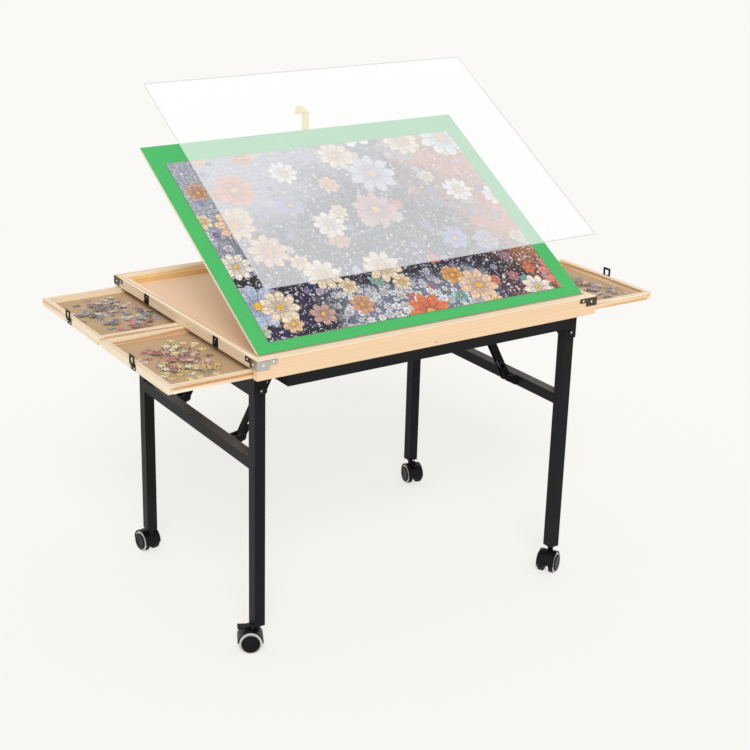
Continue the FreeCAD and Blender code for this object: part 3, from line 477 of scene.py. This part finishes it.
# Drawers: a pine frame with a groove for its runners and a thin brown hardboard bottom. The latch on
# the outer end is pressed black steel: a plate with a barrel, and a loop that hooks on the catch above.
hardboard = fibreboard("brown_hardboard", srgb(204, 174, 140), srgb(178, 146, 112), srgb(220, 196, 166))
latch_black = powder_coat("black_latch_steel", srgb(14, 14, 15), srgb(26, 25, 25), roughness=0.32)
dress(latch_black, "latch_catches")
DRAWERS = {"left_rear": (-1, 1), "left_front": (-1, -1), "right_front": (1, -1), "right_rear": (1, 1)}
DRAWER_MIDDLE, END_RAIL = 0.1625, 0.0126
LATCH_REACH, LATCH_SCREW_UP, LATCH_SCREW_OUT = 0.0053, 0.6515, 0.0072
CATCH_SEAT, CATCH_SCREW_UP = 0.4321, 0.679
catch_seats = []
for number, (drawer, (across, along)) in enumerate(DRAWERS.items()):
    low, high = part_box(drawer + "_drawer_frame")
    ends = ((low.x + high.x) / 2, (high.x - low.x) / 2 - END_RAIL)
    pith = (along * 0.30 - 0.08, -0.56 - 0.02 * number)
    dress(pine(drawer + "_drawer_pine", PALE, TAN, run="x", pith=pith, shift=number * 1.3, ends=ends),
          drawer + "_drawer_frame")
    dress(hardboard, drawer + "_drawer_bottom")
    dress(latch_black, drawer + "_latch_plate", drawer + "_latch_loop")
    reach = abs(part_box(drawer + "_latch_plate")[0 if across < 0 else 1].x)
    plate_face = across * (reach - LATCH_REACH + PLATE)
    middle = along * DRAWER_MIDDLE
    latch_seats = [((plate_face, middle + beside, LATCH_SCREW_UP), (across, 0, 0))
                   for beside in (-LATCH_SCREW_OUT, LATCH_SCREW_OUT)]
    screws(drawer + "_latch_screws", latch_seats, radius=0.0021, height=0.0009, finish=screw_steel,
           body=drawer + "_drawer")
    catch_seats.append(((across * CATCH_SEAT, middle, CATCH_SCREW_UP), (across, 0, 0)))
screws("catch_screws", catch_seats, radius=0.0025, height=0.0009, finish=screw_steel, body="table")


# Loose jigsaw pieces in the open drawers: die-cut grey card, about 2 mm thick, with a printed face on
# one side. They lie where they were tipped in, in small heaps and part overlapping.
PIECE, CARD = 0.0134, 0.0019
HALF_NECK, KNOB_OUT, KNOB = 0.085, 0.17, 0.12
KNOB_START, KNOB_SWEEP, KNOB_STEPS = 127.5, 285, 7


def piece_outline(sides):
    """The outline of a piece one unit wide; each side has a knob, 1, or a hollow for one, -1."""
    outline = []
    for quarter, knob in enumerate(sides):
        side = [(-0.5, -0.5), (-HALF_NECK, -0.5)]
        for step in range(KNOB_STEPS + 1):
            angle = radians(KNOB_START + KNOB_SWEEP * step / KNOB_STEPS)
            side.append((KNOB * cos(angle), -0.5 - knob * (KNOB_OUT - KNOB * sin(angle))))
        side.append((HALF_NECK, -0.5))
        turn = Matrix.Rotation(quarter * pi / 2, 2)
        outline += [turn @ Vector(point) for point in side]
    return outline


loose_card = Finish(bpy.data.materials.new("printed_jigsaw_card"))
tint = loose_card.node("Attribute", {"attribute_name": "tint"}, output="Color")
blotch = loose_card.noise(loose_card.place, 260, 3, 0.6)
fleck = loose_card.noise(loose_card.place, 410, 3, 0.7)
linen = loose_card.noise(loose_card.place, 2400, 1)
lightened = loose_card.mix(blotch.rise(0.52, 0.62) * 0.6, tint, srgb(246, 240, 228))
loose_card.shade({
    "Base Color": loose_card.mix(fleck.rise(0.53, 0.61) * 0.62, lightened, srgb(58, 44, 48)),
    "Roughness": 0.42 + linen * 0.2,
    "Normal": loose_card.relief(linen, 0.0001, 0.4),
})
GREY_CARD = srgb(176, 164, 146)
FACE_UP = 0.96
TOP_LAYER = 3


def heap(drawer, count, heaps, seed):
    """Pieces tipped into a drawer, each laid on whatever already lies there. A heap is its middle, its
    spread and its colours."""
    chance = random.Random(seed)
    low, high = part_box(drawer + "_drawer_bottom")
    margin = 0.85 * PIECE
    laid, points, faces, tints = [], [], [], []
    while len(laid) < count:
        x, y, spread, colours = chance.choice(heaps)
        x, y = chance.gauss(x, spread), chance.gauss(y, spread)
        if not (low.x + margin < x < high.x - margin and low.y + margin < y < high.y - margin):
            continue
        under = [level for px, py, level in laid if hypot(px - x, py - y) < 0.95 * PIECE]
        level = max(under) + 1 if under else 0
        if level > TOP_LAYER:
            continue
        laid.append((x, y, level))
        turned = Matrix.Rotation(chance.uniform(0, 2 * pi), 2)
        sides = [chance.choice((-1, 1)) for _ in range(4)]
        shape = [turned @ point * PIECE for point in piece_outline(sides)]
        base = high.z + level * (CARD + 0.00015) + 0.00005
        colour = chance.choice(colours) if chance.random() < FACE_UP else GREY_CARD
        first, corners = len(points), len(shape)
        rims = ((0, 1.0, GREY_CARD), (CARD * 0.93, 1.0, GREY_CARD), (CARD, 0.97, colour))
        for height, size, shade in rims:
            points += [(x + size * point.x, y + size * point.y, base + height) for point in shape]
            tints += [shade] * corners
        faces.append([first + corner for corner in range(corners)][::-1])
        faces.append([first + 2 * corners + corner for corner in range(corners)])
        for ring in (first, first + corners):
            for corner in range(corners):
                here, beside = ring + corner, ring + (corner + 1) % corners
                faces.append((here, beside, beside + corners, here + corners))
    made = piece(drawer + "_loose_pieces", points, faces, loose_card, drawer + "_drawer", sharp=20)
    layer = made.data.color_attributes.new("tint", "FLOAT_COLOR", "POINT")
    layer.data.foreach_set("color", [tone for shade in tints for tone in shade])


BLUES = [srgb(126, 134, 158), srgb(178, 180, 190), srgb(88, 92, 116), srgb(216, 212, 208),
         srgb(58, 55, 64)]
ROSES = [srgb(192, 92, 88), srgb(210, 132, 116), srgb(160, 72, 74), srgb(232, 188, 164),
         srgb(118, 60, 62)]
YELLOWS = [srgb(248, 218, 96), srgb(252, 234, 150), srgb(228, 186, 78), srgb(246, 234, 200),
           srgb(232, 172, 120)]
MAUVES = [srgb(168, 140, 148), srgb(196, 176, 174), srgb(134, 104, 116), srgb(212, 194, 186),
          srgb(102, 84, 94)]
heap("left_rear", count=130, heaps=[
    (-0.55, 0.19, 0.026, BLUES), (-0.525, 0.11, 0.026, BLUES), (-0.49, 0.21, 0.024, MAUVES),
    (-0.47, 0.13, 0.026, BLUES), (-0.50, 0.05, 0.020, ROSES), (-0.50, 0.25, 0.022, MAUVES),
    (-0.34, 0.16, 0.05, MAUVES),
], seed=11)
heap("left_front", count=140, heaps=[
    (-0.55, -0.11, 0.018, ROSES), (-0.53, -0.16, 0.024, ROSES), (-0.55, -0.22, 0.018, YELLOWS),
    (-0.485, -0.10, 0.018, YELLOWS), (-0.49, -0.17, 0.020, ROSES), (-0.50, -0.24, 0.020, YELLOWS),
    (-0.34, -0.16, 0.05, ROSES),
], seed=23)
heap("right_front", count=160, heaps=[
    (0.54, -0.22, 0.026, MAUVES), (0.50, -0.17, 0.026, ROSES), (0.46, -0.23, 0.026, MAUVES),
    (0.47, -0.11, 0.026, ROSES), (0.52, -0.10, 0.022, BLUES), (0.34, -0.16, 0.05, MAUVES),
], seed=37)


# Board hinges and prop: zinc-plated steel. Three butt hinges hold the board's front edge, and a prop
# of two flat arms and a foot bar swings under it and stands in the racks.
zinc = Finish(bpy.data.materials.new("zinc_plated_steel"))
spangle = zinc.node("TexVoronoi", {}, {"Vector": zinc.place, "Scale": 260.0}, "Color")
rolled = zinc.noise(zinc.stretch(zinc.place, (40, 900, 900)), 1, 2)
zinc.shade({
    "Base Color": zinc.mix(0.12, srgb(196, 197, 200), spangle, "OVERLAY"),
    "Metallic": 1.0,
    "Roughness": 0.26 + rolled * 0.2,
    "Normal": zinc.relief(rolled, 0.00005, 0.3),
})
dress(zinc, "board_hinge_frame_leaves", "board_hinge_board_leaves", "prop_brackets", "prop_arms",
      "prop_foot_bar")

TILT = radians(31)
on_board = Matrix.Translation(joints["board_tilt"]["pos_m"]) @ Matrix.Rotation(TILT, 4, "X")
FRAME_LEAF_FACE, FRAME_SCREW_UP = -0.3108, 0.6715
BOARD_SCREW_ALONG, BOARD_LEAF_FACE = 0.0155, -0.0035
screw_places = [hinge + beside for hinge in (-0.28, 0.0, 0.28) for beside in (-0.021, 0.0, 0.021)]
frame_seats = [((place, FRAME_LEAF_FACE, FRAME_SCREW_UP), (0, 1, 0)) for place in screw_places]
board_seats = [(on_board @ Vector((place, BOARD_SCREW_ALONG, BOARD_LEAF_FACE)), (0, sin(TILT), -cos(TILT)))
               for place in screw_places]
screws("frame_leaf_screws", frame_seats, radius=0.0019, height=0.0007, finish=screw_steel, body="table")
screws("board_leaf_screws", board_seats, radius=0.0019, height=0.0007, finish=screw_steel, body="board")


# Work board: a thin panel of pale pine that tilts on the hinges, with a sheet of green wool felt
# stretched flat and glued over all of its face.
dress(pine("board_panel_pine", srgb(251, 240, 220), srgb(234, 206, 172), run="x", pith=(0.6, -1.2),
           shift=7.7, lines=0.3), "board_panel")

felt_green = Finish(bpy.data.materials.new("green_wool_felt"))
wool = felt_green.noise(felt_green.stretch(felt_green.place, (1500, 700, 900)), 1, 4, 0.7)
fluff = felt_green.noise(felt_green.stretch(felt_green.place, (420, 1100, 700)), 1, 3, 0.7)
patch = felt_green.noise(felt_green.place, 16, 3)
dyed = felt_green.mix(wool.rise(0.3, 0.7) * 0.5 + patch * 0.2, srgb(84, 196, 112), srgb(56, 168, 90))
felt_green.shade({
    "Base Color": felt_green.mix(fluff.rise(0.56, 0.8) * 0.45, dyed, srgb(132, 216, 150)),
    "Roughness": 0.94,
    "Normal": felt_green.relief(wool + fluff, 0.0004, 0.5),
    "Sheen Weight": 0.25,
    "Sheen Roughness": 0.5,
    "Specular IOR Level": 0.1,
})
FELT_HALF, FELT_NEAR, FELT_FAR, FELT_LOW, FELT_TOP = 0.414, 0.0045, 0.6145, 0.0040, 0.0052
CUT_EDGE, NAP = 0.0003, 0.00008
columns, rows = 92, 68
nap = random.Random(5)
points, faces = [], []
for height, inset in ((FELT_LOW, 0.0), (FELT_TOP - CUT_EDGE, 0.0), (FELT_TOP, CUT_EDGE)):
    for row in range(rows + 1):
        for column in range(columns + 1):
            x = (FELT_HALF - inset) * (2 * column / columns - 1)
            y = FELT_NEAR + inset + (FELT_FAR - FELT_NEAR - 2 * inset) * row / rows
            points.append((x, y, height - (nap.uniform(0, NAP) if height == FELT_TOP else 0)))
whole = (rows + 1) * (columns + 1)
for row in range(rows):
    for column in range(columns):
        corner = row * (columns + 1) + column
        quad = (corner, corner + 1, corner + columns + 2, corner + columns + 1)
        faces.append([2 * whole + index for index in quad])
        faces.append(quad[::-1])
rim = list(range(columns))
rim += [row * (columns + 1) + columns for row in range(rows)]
rim += [rows * (columns + 1) + column for column in range(columns, 0, -1)]
rim += [row * (columns + 1) for row in range(rows, 0, -1)]
for below in (0, whole):
    for here, beside in zip(rim, rim[1:] + rim[:1]):
        faces.append((below + here, below + beside, below + whole + beside, below + whole + here))
used = sorted({index for face in faces for index in face})
renumber = {index: place for place, index in enumerate(used)}
points = [points[index] for index in used]
faces = [[renumber[index] for index in face] for face in faces]
felt = piece("green_felt", points, faces, felt_green, "board", on_board, sharp=60)
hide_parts("felt_sheet")


# Jigsaw on the felt: die-cut card about 2 mm thick, put together, with a glossy printed face. The
# print is a plain night garden: round blossoms and tiny white flowers over a dark violet ground.
PUZZLE_LEFT, PUZZLE_RIGHT, PUZZLE_NEAR, PUZZLE_FAR = -0.379, 0.373, 0.030, 0.556
NECK_OUT = 0.075
print_face = Finish(bpy.data.materials.new("printed_jigsaw_face"))
wide, deep, _ = print_face.axes(print_face.place)


def seams(along, across, salt):
    """Distance, in pieces, to the nearest cut that runs across, with its knobs to either side."""
    line = along.math("ROUND", along)
    off = along - line
    cell = across.math("FLOOR", across)
    beside = across - cell - 0.5
    key = print_face.node("CombineXYZ", sockets=[line, cell, salt])
    way = (print_face.node("TexWhiteNoise", {"noise_dimensions": "3D"}, {"Vector": key}) > 0.5) * 2 - 1
    out = off * way
    circle = abs(((out - KNOB_OUT) * (out - KNOB_OUT) + beside * beside) ** 0.5 - KNOB)
    straight = abs(off) + (abs(beside) < HALF_NECK)
    return straight.least(circle + (out < NECK_OUT))


pieces_across, pieces_up = (wide - PUZZLE_LEFT) / PIECE, (deep - PUZZLE_NEAR) / PIECE
cut_gap = seams(pieces_across, pieces_up, 1.0).least(seams(pieces_up, pieces_across, 2.0))
groove = 1 - cut_gap.rise(0.012, 0.05)

flat_place = print_face.node("CombineXYZ", sockets=[wide, deep, 0.0])


def blossom(rank, scale, reach, petals, keep, colours, shift, bed=1.0):
    """The first or second nearest of the flowers scattered over the print, or over a bed in it: its lot,
    how far it covers the print, and its colour."""
    moved = print_face.node("VectorMath", {"operation": "ADD"}, [flat_place, (shift, shift * 0.7, 0)])
    cell = print_face.node("TexVoronoi", {"voronoi_dimensions": "2D", "feature": rank},
                           {"Vector": moved, "Scale": scale, "Randomness": 0.85}, "Position")
    lot, turn, size = print_face.axes(
        print_face.node("TexWhiteNoise", {"noise_dimensions": "3D"}, {"Vector": cell}, "Color"))
    from_eye = print_face.node("VectorMath", {"operation": "SUBTRACT"}, [moved, cell])
    east, north, _ = print_face.axes(from_eye)
    away = (east * east + north * north) ** 0.5
    angle = (north.math("ARCTAN2", north, east) + turn * 6.28) * (petals / 2)
    lobe = abs(angle.math("COSINE", angle))
    edge = (lobe * 0.30 + 0.70) * (size * 0.5 + 0.5) * reach
    share = away / edge
    cover = (1 - share.rise(0.93, 1.0)) * (lot < keep) * bed
    petal = print_face.node("ValToRGB", {"stops": colours}, [size])
    inner = print_face.mix((1 - share.rise(0.15, 0.8)) * 0.4, petal, srgb(78, 52, 98))
    veined = print_face.mix(lobe.rise(0.0, 0.4) * 0.5 + 0.5, srgb(34, 26, 62), inner)
    eye = 1 - share.rise(0.16, 0.22)
    return lot, cover, print_face.mix(eye, veined, srgb(240, 190, 70))


ground_cloud = print_face.noise(flat_place, 6.5, 4, 0.6)
NIGHT = [(0.30, srgb(12, 11, 19)), (0.48, srgb(24, 19, 38)), (0.64, srgb(48, 34, 76)),
         (0.78, srgb(34, 42, 74))]
ground = print_face.node("ValToRGB", {"stops": NIGHT}, [ground_cloud])
leaf = print_face.noise(print_face.stretch(flat_place, (90, 34, 1)), 1, 3).rise(0.52, 0.68)
picture = print_face.mix(leaf * 0.45, ground, srgb(20, 30, 44))
warm = (wide * 1.9 + deep * 0.5 + ground_cloud * 0.9).rise(0.90, 1.40)
picture = print_face.mix(warm * 0.8, picture, srgb(226, 140, 78))
mist = (deep * 2.4 - wide * 1.2 + ground_cloud * 0.9).rise(1.35, 1.85)
picture = print_face.mix(mist * 0.7, picture, srgb(196, 200, 216))
bed_wide = (wide + ground_cloud * 0.1 + 0.18).rise(0.0, 0.1) * (1 - (wide - 0.12).rise(0.0, 0.12))
near_bed = (ground_cloud * 0.10 - deep + 0.10).rise(0.0, 0.05) * bed_wide
picture = print_face.mix(near_bed * 0.5, picture, srgb(158, 170, 190))
WHITES = [(0.0, srgb(244, 242, 246)), (0.5, srgb(208, 204, 228)), (1.0, srgb(252, 252, 253))]
STONES = [(0.0, srgb(222, 226, 232)), (0.5, srgb(246, 247, 248)), (1.0, srgb(186, 194, 208))]
SMALL = [(0.0, srgb(96, 84, 158)), (0.35, srgb(216, 210, 226)), (0.65, srgb(90, 122, 176)),
         (1.0, srgb(226, 120, 84))]
MIDDLING = [(0.0, srgb(112, 178, 176)), (0.35, srgb(244, 226, 190)), (0.65, srgb(236, 168, 84)),
            (1.0, srgb(146, 164, 216))]
LARGE = [(0.0, srgb(246, 244, 242)), (0.4, srgb(248, 226, 194)), (0.6, srgb(232, 128, 84)),
         (0.8, srgb(186, 196, 222)), (1.0, srgb(250, 248, 244))]
# Each layer's scale, reach, petals, share kept, colours, shift and bed
for layer in (
    (210, 0.0019, 5, 0.34, WHITES, 0.0),
    (95, 0.0042, 5, 0.24, WHITES, 3.1),
    (27, 0.017, 6, 0.30, SMALL, 7.7),
    (48, 0.014, 6, 0.85, STONES, 4.3, near_bed),
    (13, 0.034, 7, 0.36, MIDDLING, 21.4),
    (7.4, 0.068, 9, 0.55, LARGE, 12.9),
):
    lot, cover, colour = blossom("F1", *layer)
    next_lot, next_cover, next_colour = blossom("F2", *layer)
    over = print_face.mix(cover, print_face.mix(next_cover, picture, next_colour), colour)
    under = print_face.mix(next_cover, print_face.mix(cover, picture, colour), next_colour)
    picture = print_face.mix(lot > next_lot, under, over)
linen_print = print_face.noise(print_face.place, 2200, 1)
printed = print_face.mix(groove * 0.75, picture, srgb(20, 16, 24))
print_face.shade({
    "Base Color": print_face.mix(print_face.normal()[2].rise(0.4, 0.8), GREY_CARD, printed),
    "Roughness": 0.36 + linen_print * 0.16 + groove * 0.2,
    "Normal": print_face.relief(linen_print * 0.1 - groove, 0.0003, 0.6),
})
PUZZLE_LOW, PRESSED_EDGE = FELT_TOP + 0.0001, 0.0004
PUZZLE_TOP = PUZZLE_LOW + CARD
points = []
for height, inset in ((PUZZLE_LOW, 0.0), (PUZZLE_TOP - PRESSED_EDGE, 0.0), (PUZZLE_TOP, PRESSED_EDGE)):
    left, right = PUZZLE_LEFT + inset, PUZZLE_RIGHT - inset
    near, far = PUZZLE_NEAR + inset, PUZZLE_FAR - inset
    points += [(left, near, height), (right, near, height), (right, far, height), (left, far, height)]
faces = [(3, 2, 1, 0), (8, 9, 10, 11)]
for below in (0, 4):
    for corner in range(4):
        here, beside = below + corner, below + (corner + 1) % 4
        faces.append((here, beside, beside + 4, here + 4))
piece("jigsaw_on_board", points, faces, print_face, "board", on_board)


# Pull ribbon: a band of golden-yellow cotton webbing glued to the middle of the board's rear edge. It
# stands up and is folded over to the left at its top.
webbing = Finish(bpy.data.materials.new("golden_webbing"))
BAND, WEBBING_THICK = 0.019, 0.0005
WARP_PITCH, WEFT_PITCH = 0.0011, 0.0014
yarn, run_along, _ = webbing.axes(webbing.node("TexCoord", output="UV"))
warp_turn = yarn * (pi / WARP_PITCH)
weft_turn = run_along * (pi / WEFT_PITCH) + yarn * (pi / WARP_PITCH / 2)
warp, weft = abs(warp_turn.math("SINE", warp_turn)), abs(weft_turn.math("SINE", weft_turn))
lint = webbing.noise(webbing.place, 2600, 2)
selvedge = abs(yarn - BAND / 2).rise(0.0078, 0.0086)
webbing.shade({
    "Base Color": webbing.mix(warp * weft * 0.55 + lint * 0.25, srgb(246, 206, 98), srgb(254, 232, 146)),
    "Roughness": 0.78 + lint * 0.15,
    "Normal": webbing.relief(warp * weft + selvedge * 0.6, 0.00015, 0.5),
    "Sheen Weight": 0.15,
    "Specular IOR Level": 0.2,
})
RIBBON_LEFT, RIBBON_RIGHT = -0.004, 0.015
BOARD_LOW = -0.0020
EDGE_RUN = FELT_TOP - BOARD_LOW
fold_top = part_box("pull_ribbon")[1].z
fold_low = fold_top - BAND
edge_low = on_board @ Vector((0, FELT_FAR, BOARD_LOW))
edge_top = on_board @ Vector((0, FELT_FAR, FELT_TOP))
rear = Vector((0, cos(TILT), sin(TILT)))
stand_y = edge_top.y + 0.0013
path = []


def across_band(y, z, run):
    """A line straight across the upright part of the band, with the flat length to each of its ends."""
    path.append(((RIBBON_LEFT, y, z), (RIBBON_RIGHT, y, z), run, run))


# Up the board's rear edge
for share in (0.0, 0.5, 1.0):
    glued = edge_low.lerp(edge_top, share) + rear * 0.0006
    across_band(glued.y, glued.z, share * EDGE_RUN)
# Upright, a little bowed
UPRIGHT_STEPS, CLEAR_OF_EDGE = 8, 0.0008
for step in range(1, UPRIGHT_STEPS + 1):
    share = step / UPRIGHT_STEPS
    z = edge_top.z + CLEAR_OF_EDGE + (fold_low - edge_top.z - CLEAR_OF_EDGE) * share
    across_band(stand_y - 0.0004 * sin(pi * share), z, EDGE_RUN + z - edge_top.z)
# Folded over on a slant, to the left
FOLD, FLAP_FORWARD, FLAP_RAISE = 0.001, 0.0013, 0.0002
up_run = EDGE_RUN + fold_low - edge_top.z
flap_run = up_run + BAND + FOLD
path += [
    ((RIBBON_LEFT, stand_y, fold_top - 0.0012), (RIBBON_RIGHT, stand_y, fold_low + 0.0006),
     up_run + BAND, up_run),
    ((RIBBON_LEFT + 0.0006, stand_y - 0.0006, fold_top - 0.0002),
     (RIBBON_RIGHT, stand_y - 0.0006, fold_low + FLAP_RAISE), flap_run, up_run + FOLD),
    ((RIBBON_LEFT - 0.0006, stand_y - FLAP_FORWARD, fold_top),
     (RIBBON_LEFT, stand_y - FLAP_FORWARD, fold_low + FLAP_RAISE), flap_run, flap_run),
]
FLAP_STEPS = 5
for step in range(1, FLAP_STEPS + 1):
    share = step / FLAP_STEPS
    x, droop = RIBBON_LEFT - BAND * share, 0.0012 * share ** 2
    y, run = stand_y - FLAP_FORWARD - droop, flap_run + BAND * share
    path.append(((x, y, fold_top - droop), (x, y, fold_low + FLAP_RAISE), run, run))

columns = 8
points, faces, flat = [], [], []
for index, (left, right, left_run, right_run) in enumerate(path):
    for column in range(columns + 1):
        share = column / columns
        points.append(Vector(left).lerp(Vector(right), share))
        flat.append((share * BAND, left_run + (right_run - left_run) * share))
    if index:
        for column in range(columns):
            here = (index - 1) * (columns + 1) + column
            faces.append((here, here + 1, here + columns + 2, here + columns + 1))
ribbon = piece("pull_webbing", points, faces, webbing, "board", sharp=80)
layer = ribbon.data.uv_layers.new(name="run")
for loop in ribbon.data.loops:
    layer.data[loop.index].uv = flat[loop.vertex_index]
thicken = ribbon.modifiers.new("thickness", "SOLIDIFY")
thicken.thickness = WEBBING_THICK
thicken.offset = 0
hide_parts("pull_ribbon")


# Clear cover: a loose sheet of 3 mm acrylic as large as the board, slightly milky, with sawn edges
# that catch the light. It is lifted off the board, and drops straight back on the jigsaw.
acrylic = Finish(bpy.data.materials.new("milky_clear_acrylic"))
facing = acrylic.node("TexCoord", output="Normal")
flatness = acrylic.node("VectorMath", {"operation": "DOT_PRODUCT"}, [facing, (0, -sin(TILT), cos(TILT))],
                        "Value")
edge = 1 - abs(flatness).rise(0.3, 0.8)
haze = acrylic.noise(acrylic.place, 7, 3)
saw = acrylic.noise(acrylic.stretch(acrylic.place, (900, 900, 60)), 1, 2)
shadow_ray = acrylic.node("LightPath", output="Is Shadow Ray")
acrylic.shade({
    "Base Color": acrylic.mix(edge, srgb(250, 252, 255), srgb(214, 214, 214)),
    "Roughness": 0.12 + haze * 0.06 + edge * saw * 0.4,
    "Alpha": (0.29 + haze * 0.03 + edge * 0.4) * (1 - shadow_ray * 0.85),
    "IOR": 1.49,
    "Specular IOR Level": 0.4,
})
dress(acrylic, "clear_cover")


# Studio: a plain pale floor, an even pale sky and one broad soft lamp from the front left, with the
# camera where the photograph was taken from.
PAPER = srgb(252, 251, 248)
floor_paint = Finish(bpy.data.materials.new("pale_floor"))
floor_paint.shade({"Base Color": PAPER, "Roughness": 0.9, "Specular IOR Level": 0.0})


def looked_at(finish):
    """1 for a ray from the camera, also by way of a mirror or through something clear, and else 0."""
    seen, mirrored, through = (finish.node("LightPath", output=f"Is {kind} Ray")
                               for kind in ("Camera", "Glossy", "Transmission"))
    return seen.most(mirrored).most(through)


lit = Value(floor_paint, floor_paint.tree.nodes["Principled BSDF"].outputs[0])
glow = floor_paint.node("Emission", sockets={"Color": PAPER})
pale = floor_paint.node("MixShader", sockets=[looked_at(floor_paint) * 0.7, lit, glow])
floor_paint.feed(floor_paint.tree.nodes["Material Output"], {"Surface": pale})
bpy.ops.mesh.primitive_plane_add(size=120, location=(0, 0, -0.0005))
floor = bpy.context.object
floor.name = "studio_floor"
floor.data.materials.append(floor_paint.owner)

world = bpy.data.worlds.new("studio_sky")
bpy.context.scene.world = world
sky = Finish(world)
sky.feed(sky.tree.nodes["Background"], {"Color": PAPER, "Strength": 0.62 + looked_at(sky) * 0.38})

lamp = bpy.data.lights.new("window_light", "SUN")
lamp.energy = 1.6
lamp.angle = radians(24)
sun = bpy.data.objects.new("window_light", lamp)
sun.rotation_euler = Vector((0.42, 0.78, -0.78)).to_track_quat("-Z", "Y").to_euler()
bpy.context.scene.collection.objects.link(sun)

PHOTO_PX, FOCAL_PX, SHIFT_PX = 750, 1484.045, (80, -40)
YAW, PITCH, ROLL = radians(30.941), radians(19.117), radians(0.526)
ahead = Vector((sin(YAW) * cos(PITCH), cos(YAW) * cos(PITCH), -sin(PITCH)))
level = Vector((cos(YAW), -sin(YAW), 0))
above = level.cross(ahead)
right = cos(ROLL) * level + sin(ROLL) * above
upright = cos(ROLL) * above - sin(ROLL) * level
lens = bpy.data.cameras.new("camera")
lens.sensor_width = 36
lens.lens = FOCAL_PX / PHOTO_PX * lens.sensor_width
lens.shift_x, lens.shift_y = (shift / PHOTO_PX for shift in SHIFT_PX)
camera = bpy.data.objects.new("camera", lens)
camera.matrix_world = Matrix((right, upright, -ahead)).transposed().to_4x4()
camera.location = (-1.756982, -2.686367, 1.676342)
bpy.context.scene.collection.objects.link(camera)
bpy.context.scene.camera = camera
bpy.context.scene.view_settings.view_transform = "Standard"
